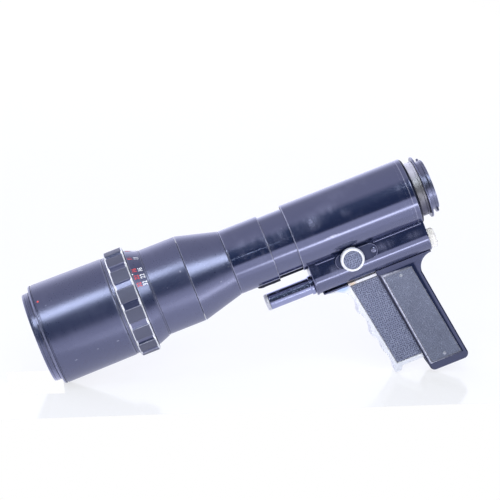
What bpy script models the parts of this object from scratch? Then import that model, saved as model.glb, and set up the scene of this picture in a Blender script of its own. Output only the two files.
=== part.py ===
"""Squeeze-focus telephoto lens on a pistol grip, as an assembly of separate pieces.

Frame: metres, +Z up, optical axis along X with +X towards the camera body.
The origin is the centre of the camera flange's seating face.
"""
import math

import bmesh
import bpy
from mathutils import Vector

MM = 0.001

# Fits
GAP = 0.3 * MM      # between pieces that seat on each other
RUN = 0.4 * MM      # between pieces that slide or turn on each other
WELD = 0.001 * MM   # points closer than this are one point

# Facets
BODY_STEPS = 36
INNER_STEPS = 20
SMALL_STEPS = 12
CORNER_STEPS = 6
SADDLE_STEPS = 8
GLASS_STEPS = 4
SHARP_DEG = 35.0

# Camera mount
FLANGE_R = 28.8 * MM
FLANGE_THICKNESS = 1.8 * MM
FLANGE_RIM = 2.0 * MM
FLANGE_RELIEF = 0.4 * MM
THROAT_R = 23.0 * MM
THROAT_BORE_R = 19.5 * MM
THROAT_LENGTH = 7.2 * MM
LUG_HEIGHT = 3.0 * MM
LUG_ROOT = 0.4 * MM
LUG_THICKNESS = 1.8 * MM
LUG_SETBACK = 1.2 * MM
LUG_COUNT = 3
LUG_SWEEP_DEG = 62.0
MOUNT_SLEEVE_R = 25.3 * MM
MOUNT_SLEEVE_LENGTH = 7.8 * MM
MOUNT_SPIGOT_R = 24.0 * MM
MOUNT_SPIGOT_LENGTH = 5.0 * MM

# Focus tube, its guides and the housing tube round it
FOCUS_TUBE_R = 28.35 * MM
FOCUS_TUBE_WALL = 2.0 * MM
FOCUS_TUBE_REAR_SETBACK = 45.0 * MM
BUSH_WALL = 0.8 * MM
BUSH_LENGTH = 9.0 * MM
REAR_BUSH_SETBACK = 35.0 * MM
HOUSING_WALL = 1.4 * MM
HOUSING_OVERHANG = 3.9 * MM
TRIM_LENGTH = 5.4 * MM
TRIM_SPIGOT = 4.0 * MM
TRIM_GROOVE = 0.8 * MM
BAFFLE_R = 22.0 * MM
BAFFLE_THICKNESS = 1.5 * MM
BAFFLE_SETBACK = 75.0 * MM

# Squeeze focusing
FOCUS_STROKE = 21.0 * MM
STROKE_MARGIN = 1.5 * MM

# Barrel in front of the housing
SLEEVE_WALL = 1.5 * MM
SLEEVE_LENGTH = 37.2 * MM
CONE_LENGTH = 38.1 * MM
CONE_WALL = 3.0 * MM
CONE_SPIGOT = 7.0 * MM
HEAD_RISE = 1.65 * MM
HEAD_LENGTH = 33.7 * MM
HEAD_SHOULDER = 4.1 * MM
JOURNAL_WALL = 1.2 * MM
SCALE_LENGTH = 12.8 * MM
SCALE_FRONT_STEP = 4.2 * MM
SCALE_REAR_RISE = 2.0 * MM

# Aperture ring and iris
APERTURE_LENGTH = 17.9 * MM
APERTURE_R = 49.2 * MM
APERTURE_WALL = 10.2 * MM
APERTURE_CHAMFER = 1.3 * MM
FLUTE_COUNT = 16
FLUTE_STEPS = 6
FLUTE_DEPTH = 1.7 * MM
APERTURE_TURN_DEG = 60.0
PIN_R = 1.5 * MM
PIN_ANGLE_DEG = 200.0
IRIS_SLEEVE_WALL = 1.0 * MM
IRIS_PLATE = 1.2 * MM
CARRIER_WALL = 0.8 * MM
BLADE_COUNT = 6
BLADE_WIDTH = 8.9 * MM
BLADE_THICKNESS = 0.5 * MM
BLADE_PITCH = 1.0 * MM
BLADE_SWEEP_DEG = 100.0

# Objective, its cell, the hood and the front bezel
GLASS_SEAT = 1.8 * MM
CELL_REACH = 1.2 * MM
CELL_WALL = 5.3 * MM
CELL_STEP = 3.0 * MM
CELL_SPIGOT_WALL = 4.1 * MM
CROWN_THICKNESS = 12.0 * MM
FLINT_THICKNESS = 5.0 * MM
CROWN_CURVE = 190.0 * MM
CEMENT_CURVE = 160.0 * MM
FLINT_CURVE = 600.0 * MM
CROWN_SETBACK = 4.0 * MM
RETAINER_WALL = 2.0 * MM
BEZEL_LENGTH = 6.0 * MM
BEZEL_WALL = 4.2 * MM
BEZEL_CHAMFER = 1.2 * MM
STOP_LENGTH = 2.5 * MM
STOP_STEP = 0.3 * MM
STOP_GROOVE = 0.7 * MM
STOP_BANDS = 3
HOOD_LENGTH = 70.0 * MM
HOOD_FRONT_R = 46.7 * MM
HOOD_TAPER = 0.8 * MM
HOOD_WALL = 1.8 * MM
HOOD_BAND = 6.0 * MM
HOOD_BAND_DEPTH = 2.1 * MM
HOOD_LIP = 2.2 * MM
HOOD_GROOVE = 0.7 * MM

# Lower casting and its covers
CASTING_LENGTH = 106.0 * MM
CASTING_REAR_SETBACK = 12.0 * MM
CASTING_HALF_WIDTH = 20.75 * MM
CASTING_DEPTH = 56.5 * MM
CASTING_CORNER = 14.0 * MM
CAVITY_HALF_WIDTH = 13.0 * MM
CAVITY_FLOOR = 3.5 * MM
CASTING_REAR_WALL = 8.0 * MM
END_PLATE_THICKNESS = 5.0 * MM
END_PLATE_FLARE = 0.6 * MM
BOTTOM_PLATE_CLEARANCE = 0.6 * MM
BOTTOM_PLATE_HALF_WIDTH = 10.0 * MM
BOTTOM_PLATE_THICKNESS = 1.5 * MM

# Guide rod, carriage and return spring
GUIDE_HEIGHT = 9.0 * MM
GUIDE_TUBE_R = 7.75 * MM
GUIDE_TUBE_LENGTH = 45.5 * MM
GUIDE_TUBE_SEAT = 4.0 * MM
GUIDE_COLLAR_R = 8.9 * MM
GUIDE_COLLAR_LENGTH = 3.0 * MM
GUIDE_CAP_LENGTH = 3.0 * MM
GUIDE_CAP_CHAMFER = 0.8 * MM
GUIDE_ROD_R = 4.5 * MM
GUIDE_ROD_SETBACK = 4.1 * MM
GUIDE_ROD_SEAT = 12.0 * MM
CARRIAGE_LENGTH = 30.0 * MM
CARRIAGE_SETBACK = 57.6 * MM
CARRIAGE_HALF_WIDTH = 10.0 * MM
CARRIAGE_HEIGHT = 16.5 * MM
RAIL_HALF_WIDTH = 5.0 * MM
RAIL_THICKNESS = 4.8 * MM
RAIL_GRIP = 21.6 * MM
RAIL_SCREW_PITCH = 10.0 * MM
RAIL_SCREW_R = 1.5 * MM
RAIL_SCREW_HEAD_R = 2.6 * MM
RAIL_SCREW_HEAD = 0.8 * MM
SPRING_TURNS = 9
SPRING_POINTS = 8
SPRING_R = 3.6 * MM
SPRING_WIRE_R = 0.6 * MM
KNOB_SCREW_R = 2.5 * MM
TENSION_KNOB_R = 9.0 * MM
TENSION_KNOB_LENGTH = 7.2 * MM
TENSION_KNOB_CHAMFER = 1.2 * MM
TENSION_NUT_HALF = 4.4 * MM
TENSION_NUT_LENGTH = 3.4 * MM
TENSION_NUT_SETBACK = 2.6 * MM

# Focus lock on the casting's side
LOCK_SETBACK = 72.0 * MM
LOCK_DROP = 32.0 * MM
LOCK_KNOB_R = 10.9 * MM
LOCK_KNOB_LENGTH = 7.0 * MM
LOCK_KNOB_CHAMFER = 1.2 * MM
LOCK_BOSS_LENGTH = 1.6 * MM
LOCK_BOSS_R = 7.0 * MM
LOCK_LEATHER_R = 7.9 * MM
LOCK_LEATHER = 1.0 * MM
LOCK_SHAFT_R = 2.0 * MM
LOCK_SHAFT_GRIP = 4.0 * MM
LOCK_SHOE_HALF_LENGTH = 6.0 * MM
LOCK_SHOE_HEIGHT = 12.4 * MM
LOCK_SHOE_RISE = 1.2 * MM
LOCK_SHOE_THICKNESS = 1.8 * MM
ESCUTCHEON_LENGTH = 40.2 * MM
ESCUTCHEON_HEIGHT = 14.5 * MM
ESCUTCHEON_THICKNESS = 1.2 * MM
ESCUTCHEON_SHIFT = 4.7 * MM
ESCUTCHEON_SCREW_OFFSET = 21.0 * MM
ESCUTCHEON_SCREW_R = 1.4 * MM
ESCUTCHEON_SCREW_HEAD_R = 2.5 * MM
SCREW_HEAD = 0.8 * MM
SCREW_SHANK = 1.0 * MM

# Pistol grip, measured from the point where its front edge meets the casting
GRIP_SETBACK = 55.4 * MM
GRIP_LEAN = 0.1553
GRIP_HEIGHT = 106.0 * MM
GRIP_DEPTH = 37.6 * MM
GRIP_HALF_WIDTH = 14.0 * MM
GRIP_ROUND = 2.5 * MM
GRIP_CORNER = 5.0 * MM
GRIP_TANG = 14.0 * MM
GRIP_SADDLE = 5.0 * MM
GRIP_SIDE_WALL = 3.5 * MM
GRIP_BACK_WALL = 4.5 * MM
GRIP_FLOOR = 6.0 * MM
PANEL_TOP = 5.5 * MM
PANEL_FOOT = 8.5 * MM
PANEL_BORDER = 4.2 * MM
PANEL_THICKNESS = 1.0 * MM
PANEL_SCREW_R = 0.9 * MM
PANEL_SCREW_HEAD_R = 1.6 * MM
PANEL_SCREW_HEAD = 0.5 * MM
TRIPOD_BUSH_R = 5.2 * MM
TRIPOD_BORE_R = 3.2 * MM

# Trigger, in the grip's own coordinates: distance behind the grip's front corner, and height
TRIGGER_HALF_WIDTH = 9.5 * MM
TRIGGER_ENTRY = 4.0 * MM
TRIGGER_HEIGHT = 91.0 * MM
TRIGGER_STEP = -27.0 * MM
SPUR_TOP = 2.1 * MM
SPUR_REACH = 45.6 * MM
SPUR_DROP = 3.3 * MM
UPPER_CUSP_REACH = 27.6 * MM
UPPER_CUSP_DROP = 29.7 * MM
MIDDLE_CUSP_REACH = 23.4 * MM
MIDDLE_CUSP_DROP = 53.7 * MM
LOWER_CUSP_REACH = 18.0 * MM
LOWER_CUSP_DROP = 71.6 * MM
TIP_REACH = 14.2 * MM
TIP_DROP = 95.0 * MM
UPPER_FINGER_DEPTH = 9.5 * MM
SECOND_FINGER_DEPTH = 3.6 * MM
THIRD_FINGER_DEPTH = 2.2 * MM
LOWER_FINGER_DEPTH = 2.0 * MM
TRIGGER_HEEL = 8.0 * MM
TRIGGER_TIP = 5.5 * MM
NECK_FRONT = -22.0 * MM
NECK_LENGTH = 17.0 * MM
NECK_HALF_WIDTH = 5.0 * MM
LEATHER_FRONT = -25.4 * MM
LEATHER_LEAN = 0.1826
LEATHER_TOP = 3.0 * MM
LEATHER_FOOT = 4.1 * MM
LEATHER_REAR_INSET = 1.0 * MM
LEATHER_THICKNESS = 1.0 * MM

# Stations along the axis, worked forward from the flange face
CASTING_REAR = -CASTING_REAR_SETBACK
CASTING_FRONT = CASTING_REAR - CASTING_LENGTH
PLATE_REAR = CASTING_FRONT - GAP
PLATE_FRONT = PLATE_REAR - END_PLATE_THICKNESS
MOUNT_SLEEVE_REAR = -(FLANGE_THICKNESS + GAP)
TRIM_REAR = MOUNT_SLEEVE_REAR - MOUNT_SLEEVE_LENGTH - GAP
TRIM_FRONT = TRIM_REAR - TRIM_LENGTH
HOUSING_REAR = TRIM_FRONT - GAP
HOUSING_FRONT = PLATE_FRONT - HOUSING_OVERHANG
BARREL_REAR = HOUSING_FRONT - FOCUS_STROKE - STROKE_MARGIN
CONE_REAR = BARREL_REAR - SLEEVE_LENGTH
CONE_FRONT = CONE_REAR - CONE_LENGTH
HEAD_REAR = CONE_FRONT - GAP
HEAD_FRONT = HEAD_REAR - HEAD_LENGTH
SCALE_REAR = HEAD_FRONT - GAP
SCALE_FRONT = SCALE_REAR - SCALE_LENGTH
APERTURE_REAR = SCALE_FRONT - RUN
APERTURE_FRONT = APERTURE_REAR - APERTURE_LENGTH
STOP_REAR = APERTURE_FRONT - RUN
STOP_FRONT = STOP_REAR - STOP_LENGTH
HOOD_REAR = STOP_FRONT - GAP
HOOD_FRONT = HOOD_REAR - HOOD_LENGTH
CELL_FRONT = HOOD_FRONT - CELL_REACH
BEZEL_REAR = CELL_FRONT - GAP
BEZEL_FRONT = BEZEL_REAR - BEZEL_LENGTH
CROWN_POLE = CELL_FRONT + CROWN_SETBACK
GLASS_REAR = CROWN_POLE + CROWN_THICKNESS + GAP + FLINT_THICKNESS
IRIS_REAR = HEAD_FRONT + CONE_SPIGOT

# Radii that follow from the fits
JOURNAL_R = APERTURE_R - APERTURE_WALL - RUN
HEAD_R = JOURNAL_R + HEAD_RISE
HEAD_BORE_R = JOURNAL_R - HEAD_SHOULDER
SCALE_FRONT_R = APERTURE_R - SCALE_FRONT_STEP
SCALE_REAR_R = JOURNAL_R + SCALE_REAR_RISE
HOOD_REAR_R = HOOD_FRONT_R - HOOD_TAPER
HOOD_BORE_R = HOOD_REAR_R - HOOD_WALL
HOOD_RUN_R = HOOD_BORE_R - HOOD_BAND_DEPTH
STOP_R = HOOD_REAR_R - STOP_STEP
CELL_R = HOOD_RUN_R - RUN
CELL_SPIGOT_R = CELL_R - CELL_STEP
CELL_BORE_R = CELL_R - CELL_WALL
GLASS_R = CELL_BORE_R - GAP
BUSH_BORE_R = FOCUS_TUBE_R + RUN
HOUSING_BORE_R = BUSH_BORE_R + BUSH_WALL + GAP
HOUSING_R = HOUSING_BORE_R + HOUSING_WALL
SLEEVE_BORE_R = FOCUS_TUBE_R + GAP
SLEEVE_R = SLEEVE_BORE_R + SLEEVE_WALL
TUBE_BORE_R = FOCUS_TUBE_R - FOCUS_TUBE_WALL
JOURNAL_BORE_R = JOURNAL_R - JOURNAL_WALL
IRIS_SLEEVE_R = JOURNAL_BORE_R - RUN
IRIS_BORE_R = IRIS_SLEEVE_R - IRIS_SLEEVE_WALL
CARRIER_R = IRIS_BORE_R - RUN
CARRIER_BORE_R = CARRIER_R - CARRIER_WALL
BLADE_OUTER_R = CARRIER_BORE_R - RUN
IRIS_CLEAR_R = BLADE_OUTER_R - BLADE_WIDTH
BLADE_PIVOT_R = (IRIS_CLEAR_R + BLADE_OUTER_R) / 2

# Places in and under the casting
CASTING_BOTTOM = -CASTING_DEPTH
CAVITY_REAR = CASTING_REAR - CASTING_REAR_WALL
CAVITY_BOTTOM = CASTING_BOTTOM + CAVITY_FLOOR
GUIDE_Z = CASTING_BOTTOM + GUIDE_HEIGHT
GUIDE_COLLAR_REAR = PLATE_FRONT - GAP
GUIDE_FRONT = GUIDE_COLLAR_REAR - GUIDE_TUBE_LENGTH + GUIDE_CAP_LENGTH
CARRIAGE_REAR = CASTING_REAR - CARRIAGE_SETBACK
CARRIAGE_FRONT = CARRIAGE_REAR - CARRIAGE_LENGTH
CARRIAGE_BOTTOM = CAVITY_BOTTOM + RUN
CARRIAGE_TOP = CARRIAGE_BOTTOM + CARRIAGE_HEIGHT
RAIL_TOP = -(FOCUS_TUBE_R + GAP)
RAIL_BOTTOM = RAIL_TOP - RAIL_THICKNESS
RAIL_FRONT = BARREL_REAR - RAIL_GRIP
NUT_REAR = CAVITY_REAR - TENSION_NUT_SETBACK
NUT_FRONT = NUT_REAR - TENSION_NUT_LENGTH
LOCK_X = CASTING_REAR - LOCK_SETBACK
LOCK_Z = -LOCK_DROP
CASTING_SIDE = -CASTING_HALF_WIDTH
GRIP_CORNER_POINT = Vector((CASTING_REAR - GRIP_SETBACK, 0.0, CASTING_BOTTOM))
PANEL_BOTTOM = GRIP_HEIGHT - PANEL_FOOT
LEATHER_BOTTOM = TRIGGER_HEIGHT - LEATHER_FOOT

# Ridges between the fingers, from the spur down to the tip, and the hollows between them
FINGER_CUSPS = (
    Vector((-SPUR_REACH, -SPUR_DROP)),
    Vector((-UPPER_CUSP_REACH, -UPPER_CUSP_DROP)),
    Vector((-MIDDLE_CUSP_REACH, -MIDDLE_CUSP_DROP)),
    Vector((-LOWER_CUSP_REACH, -LOWER_CUSP_DROP)),
    Vector((-TIP_REACH, -TIP_DROP)),
)
FINGER_DEPTHS = (UPPER_FINGER_DEPTH, SECOND_FINGER_DEPTH, THIRD_FINGER_DEPTH, LOWER_FINGER_DEPTH)

AXES = {"X": Vector((1, 0, 0)), "Y": Vector((0, 1, 0)), "Z": Vector((0, 0, 1))}
PLANES = {"X": ("Y", "Z"), "Y": ("X", "Z"), "Z": ("X", "Y")}

# Finishes: colour, roughness, metallic
FINISHES = {
    "black_paint": ((0.020, 0.021, 0.026), 0.30, 0.0),
    "black_anodised": ((0.030, 0.031, 0.036), 0.42, 0.6),
    "inner_black": ((0.008, 0.008, 0.009), 0.80, 0.0),
    "chrome": ((0.86, 0.87, 0.90), 0.14, 1.0),
    "cast_silver": ((0.74, 0.75, 0.78), 0.34, 1.0),
    "dark_steel": ((0.16, 0.17, 0.24), 0.18, 1.0),
    "steel": ((0.60, 0.61, 0.63), 0.30, 1.0),
    "brass": ((0.72, 0.55, 0.26), 0.35, 1.0),
    "leather": ((0.035, 0.036, 0.040), 0.62, 0.0),
    "grip_plastic": ((0.018, 0.018, 0.020), 0.32, 0.0),
    "glass": ((0.80, 0.86, 0.92), 0.03, 0.0),
}


def clear_scene():
    for obj in list(bpy.data.objects):
        bpy.data.objects.remove(obj, do_unlink=True)


def finish_material(name):
    existing = bpy.data.materials.get(name)
    if existing:
        return existing
    colour, roughness, metallic = FINISHES[name]
    material = bpy.data.materials.new(name)
    material.use_nodes = True
    shader = material.node_tree.nodes["Principled BSDF"]
    shader.inputs["Base Color"].default_value = (*colour, 1.0)
    shader.inputs["Roughness"].default_value = roughness
    shader.inputs["Metallic"].default_value = metallic
    return material


def joint_empty(name, at=(0, 0, 0), parent=None):
    """An empty on a joint's axis, which carries the pieces that move together."""
    empty = bpy.data.objects.new(name, None)
    empty.location = at
    empty.parent = parent
    bpy.context.collection.objects.link(empty)
    return empty


def solid(bm, name, finish, at, parent):
    """Turn a closed bmesh into a named object with outward faces."""
    bmesh.ops.recalc_face_normals(bm, faces=bm.faces)
    mesh = bpy.data.meshes.new(name)
    bm.to_mesh(mesh)
    bm.free()
    mesh.shade_smooth()
    mesh.set_sharp_from_angle(angle=math.radians(SHARP_DEG))
    obj = bpy.data.objects.new(name, mesh)
    obj.location = at
    obj.parent = parent
    bpy.context.collection.objects.link(obj)
    if finish:
        mesh.materials.append(finish_material(finish))
    else:
        obj.hide_render = True
        obj.display_type = "WIRE"
    return obj


def turned(name, profile, finish, steps=BODY_STEPS, axis="X", at=(0, 0, 0), parent=None,
           reshape=None):
    """Spin a closed outline of (along, radius) points about an axis through the object's origin."""
    along = AXES[axis]
    outward = AXES["X"] if axis == "Z" else AXES["Z"]
    bm = bmesh.new()
    verts = [bm.verts.new(along * a + outward * r) for a, r in profile]
    edges = []
    for i, (_, radius) in enumerate(profile):
        if radius > 0 or profile[i - 1][1] > 0:
            edges.append(bm.edges.new((verts[i - 1], verts[i])))
    bmesh.ops.spin(bm, geom=verts + edges, cent=(0, 0, 0), axis=along, dvec=(0, 0, 0),
                   angle=math.tau, steps=steps, use_duplicate=False)
    bmesh.ops.remove_doubles(bm, verts=bm.verts, dist=WELD)
    if reshape:
        for vert in bm.verts:
            reshape(vert.co)
    return solid(bm, name, finish, at, parent)


def extruded(name, outline, start, end, finish, axis, at=(0, 0, 0), parent=None, soften=0.0):
    """Extrude a flat outline along an axis, with its cap edges rounded by soften."""
    u, v = (AXES[letter] for letter in PLANES[axis])
    along = AXES[axis]
    bm = bmesh.new()
    face = bm.faces.new([bm.verts.new(u * a + v * b + along * start) for a, b in outline])
    extrusion = bmesh.ops.extrude_face_region(bm, geom=[face], use_keep_orig=True)
    lifted = [g for g in extrusion["geom"] if isinstance(g, bmesh.types.BMVert)]
    bmesh.ops.translate(bm, verts=lifted, vec=along * (end - start))
    if soften:
        caps = [f for f in bm.faces if len(f.verts) == len(outline)]
        edges = {edge for cap in caps for edge in cap.edges}
        bmesh.ops.bevel(bm, geom=list(edges), offset=soften, segments=2, profile=0.5, affect="EDGES")
    return solid(bm, name, finish, at, parent)


def block(name, low, high, finish, at=(0, 0, 0), parent=None):
    outline = [(low[0], low[1]), (high[0], low[1]), (high[0], high[1]), (low[0], high[1])]
    return extruded(name, outline, low[2], high[2], finish, "Z", at, parent)


def modify(target, operation, *tools):
    for tool in tools:
        boolean = target.modifiers.new(tool.name, "BOOLEAN")
        boolean.operation = operation
        boolean.solver = "EXACT"
        boolean.object = tool


def rod_profile(start, end, radius, bore=0.0):
    return [(start, bore), (end, bore), (end, radius), (start, radius)]


def arc(centre, radius, start_deg, end_deg, count):
    points = []
    for i in range(count + 1):
        angle = math.radians(start_deg + (end_deg - start_deg) * i / count)
        points.append((centre[0] + radius * math.cos(angle), centre[1] + radius * math.sin(angle)))
    return points


def bow(start, end, depth, count):
    """Points along a circular arc from start to end that bulges to the left of its chord by depth."""
    chord = end - start
    half = chord.length / 2
    radius = (half * half + depth * depth) / (2 * depth)
    side = Vector((-chord.y, chord.x)).normalized()
    centre = (start + end) / 2 - side * (radius - depth)
    spread = math.asin(half / radius)
    along = chord.normalized()
    points = []
    for i in range(count):
        angle = spread * (2 * i / count - 1)
        point = centre + side * (radius * math.cos(angle)) + along * (radius * math.sin(angle))
        points.append((point.x, point.y))
    return points


def ring_sector(inner, outer, start_deg, end_deg, count):
    return arc((0, 0), outer, start_deg, end_deg, count) + arc((0, 0), inner, end_deg, start_deg, count)


def sag(radius, curve):
    return curve - math.sqrt(curve * curve - radius * radius)


def stadium(length, height, count=6):
    reach = (length - height) / 2
    return arc((reach, 0), height / 2, -90, 90, count) + arc((-reach, 0), height / 2, 90, 270, count)


def front_group(barrel):
    """Bezel, cell, glass and the ring that keeps the glass in the cell."""
    bore = CELL_R - BEZEL_WALL
    turned("front_bezel", [
        (BEZEL_REAR, bore), (BEZEL_REAR, CELL_R), (BEZEL_FRONT + BEZEL_CHAMFER, CELL_R),
        (BEZEL_FRONT, CELL_R - BEZEL_CHAMFER), (BEZEL_FRONT, bore + BEZEL_CHAMFER),
        (BEZEL_FRONT + BEZEL_CHAMFER, bore),
    ], "black_anodised", parent=barrel)
    seat_x = GLASS_REAR + GAP
    seat_r = GLASS_R - GLASS_SEAT
    turned("lens_cell", [
        (CELL_FRONT, CELL_BORE_R), (CELL_FRONT, CELL_R), (HOOD_REAR, CELL_R), (HOOD_REAR, CELL_SPIGOT_R),
        (STOP_REAR, CELL_SPIGOT_R), (STOP_REAR, CELL_SPIGOT_R - CELL_SPIGOT_WALL), (seat_x, seat_r),
        (seat_x, CELL_BORE_R),
    ], "black_anodised", parent=barrel)
    objective(barrel)
    retainer_bore = CELL_BORE_R - RETAINER_WALL
    retainer_rear = CROWN_POLE + sag(retainer_bore, CROWN_CURVE) - GAP
    turned("objective_retainer", rod_profile(CELL_FRONT, retainer_rear, CELL_BORE_R - GAP, retainer_bore),
           "inner_black", INNER_STEPS, parent=barrel)


def objective(barrel):
    """A cemented pair: a biconvex crown and a flint that matches its rear face."""
    radii = [GLASS_R * i / GLASS_STEPS for i in range(GLASS_STEPS + 1)]
    edge = GLASS_REAR - FLINT_THICKNESS
    pole = edge + sag(GLASS_R, CEMENT_CURVE)
    rear_pole = GLASS_REAR + sag(GLASS_R, FLINT_CURVE)
    crown = [(CROWN_POLE + sag(r, CROWN_CURVE), r) for r in radii]
    crown += [(pole - GAP - sag(r, CEMENT_CURVE), r) for r in reversed(radii)]
    turned("objective_front", crown, "glass", INNER_STEPS, parent=barrel)
    flint = [(pole - sag(r, CEMENT_CURVE), r) for r in radii]
    flint += [(rear_pole - sag(r, FLINT_CURVE), r) for r in reversed(radii)]
    turned("objective_rear", flint, "glass", INNER_STEPS, parent=barrel)


def hood_group(hood):
    """Telescoping hood with a rear band that runs on the lens cell and a closed front lip."""
    bore = HOOD_BORE_R
    run = HOOD_RUN_R
    lip = HOOD_FRONT + HOOD_LIP
    band = HOOD_REAR - HOOD_BAND
    groove_r = HOOD_FRONT_R - HOOD_GROOVE
    turned("hood", [
        (HOOD_FRONT, run), (HOOD_FRONT, groove_r), (HOOD_FRONT + HOOD_GROOVE, HOOD_FRONT_R),
        (lip, HOOD_FRONT_R), (lip, groove_r), (lip + HOOD_GROOVE, groove_r),
        (lip + HOOD_GROOVE, HOOD_FRONT_R), (HOOD_REAR, HOOD_REAR_R), (HOOD_REAR, run), (band, run),
        (band, bore), (lip, bore), (lip, run),
    ], "black_paint", parent=hood)


def aperture_group(barrel, ring):
    """Stop ring, fluted aperture ring with its drive, scale ring, head barrel and iris."""
    groove = STOP_LENGTH / STOP_BANDS
    stop = [(STOP_REAR, CELL_SPIGOT_R + GAP), (STOP_FRONT, CELL_SPIGOT_R + GAP)]
    for i in range(STOP_BANDS):
        radius = STOP_R - STOP_GROOVE * (i % 2)
        stop += [(STOP_FRONT + groove * i, radius), (STOP_FRONT + groove * (i + 1), radius)]
    turned("hood_stop_ring", stop, "black_anodised", parent=barrel)

    turned("aperture_ring", [
        (APERTURE_FRONT, JOURNAL_R + RUN), (APERTURE_FRONT, APERTURE_R - APERTURE_CHAMFER),
        (APERTURE_FRONT + APERTURE_CHAMFER, APERTURE_R), (APERTURE_REAR - APERTURE_CHAMFER, APERTURE_R),
        (APERTURE_REAR, APERTURE_R - APERTURE_CHAMFER), (APERTURE_REAR, JOURNAL_R + RUN),
    ], "black_anodised", FLUTE_COUNT * FLUTE_STEPS, parent=ring, reshape=flute)

    turned("scale_ring", [
        (SCALE_FRONT, JOURNAL_R + GAP), (SCALE_FRONT, SCALE_FRONT_R), (SCALE_REAR, SCALE_REAR_R),
        (SCALE_REAR, JOURNAL_R + GAP),
    ], "black_paint", parent=barrel)

    step = IRIS_REAR + RUN
    journal_front = STOP_REAR + GAP
    head = turned("head_barrel", [
        (journal_front, JOURNAL_BORE_R), (journal_front, JOURNAL_R), (HEAD_FRONT, JOURNAL_R),
        (HEAD_FRONT, HEAD_R), (HEAD_REAR, HEAD_R), (HEAD_REAR, HEAD_BORE_R), (step, HEAD_BORE_R),
        (step, JOURNAL_BORE_R),
    ], "black_paint", parent=barrel)

    pin_x = (APERTURE_FRONT + APERTURE_REAR) / 2
    slack_deg = math.degrees((PIN_R + RUN) / JOURNAL_R)
    slot = ring_sector(IRIS_SLEEVE_R, JOURNAL_R + RUN, PIN_ANGLE_DEG - slack_deg,
                       PIN_ANGLE_DEG + APERTURE_TURN_DEG + slack_deg, SADDLE_STEPS)
    half = PIN_R + RUN
    cut = extruded("pin_slot", slot, pin_x - half, pin_x + half, None, "X", parent=barrel)
    modify(head, "DIFFERENCE", cut)
    pin = turned("aperture_pin", rod_profile(IRIS_SLEEVE_R + GAP, JOURNAL_R + RUN - GAP, PIN_R),
                 "steel", SMALL_STEPS, "Z", (pin_x, 0, 0), ring)
    pin.rotation_euler = (math.radians(PIN_ANGLE_DEG - 90), 0, 0)
    sleeve_front = pin_x - PIN_R
    plate_front = IRIS_REAR - IRIS_PLATE
    turned("aperture_sleeve", [
        (sleeve_front, IRIS_BORE_R), (sleeve_front, IRIS_SLEEVE_R), (IRIS_REAR, IRIS_SLEEVE_R),
        (IRIS_REAR, IRIS_CLEAR_R), (plate_front, IRIS_CLEAR_R), (plate_front, IRIS_BORE_R),
    ], "brass", parent=ring)
    iris(barrel, journal_front)


def flute(point):
    """Scoop the grip flutes out of the aperture ring's rim."""
    radius = math.hypot(point.y, point.z)
    if radius < SCALE_FRONT_R:
        return
    step = round(math.atan2(point.y, point.z) / math.tau * FLUTE_COUNT * FLUTE_STEPS)
    if step % FLUTE_STEPS == FLUTE_STEPS // 2:
        factor = (radius - FLUTE_DEPTH) / radius
        point.y *= factor
        point.z *= factor


def iris(barrel, carrier_front):
    """Carrier plate and thin blades, each turning on its own pivot in its own plane."""
    blades_rear = IRIS_REAR - IRIS_PLATE - RUN
    blades_front = blades_rear - BLADE_COUNT * BLADE_PITCH
    plate_rear = blades_front - RUN
    turned("iris_carrier", [
        (carrier_front, CARRIER_BORE_R), (carrier_front, CARRIER_R), (plate_rear, CARRIER_R),
        (plate_rear, IRIS_CLEAR_R), (plate_rear - IRIS_PLATE, IRIS_CLEAR_R),
        (plate_rear - IRIS_PLATE, CARRIER_BORE_R),
    ], "inner_black", parent=barrel)
    tail = arc((BLADE_PIVOT_R, 0), (BLADE_OUTER_R - IRIS_CLEAR_R) / 2, 180, 360, CORNER_STEPS)
    outline = tail + ring_sector(IRIS_CLEAR_R, BLADE_OUTER_R, 0, BLADE_SWEEP_DEG, SADDLE_STEPS)[1:-1]
    local = [(y - BLADE_PIVOT_R, z) for y, z in outline]
    for i in range(BLADE_COUNT):
        angle = math.tau * i / BLADE_COUNT
        x = blades_front + i * BLADE_PITCH
        pivot = (x, BLADE_PIVOT_R * math.cos(angle), BLADE_PIVOT_R * math.sin(angle))
        blade = extruded(f"iris_blade_{i + 1}", local, 0.0, BLADE_THICKNESS, "inner_black", "X", pivot,
                         barrel)
        blade.rotation_euler = (angle, 0, 0)


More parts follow.
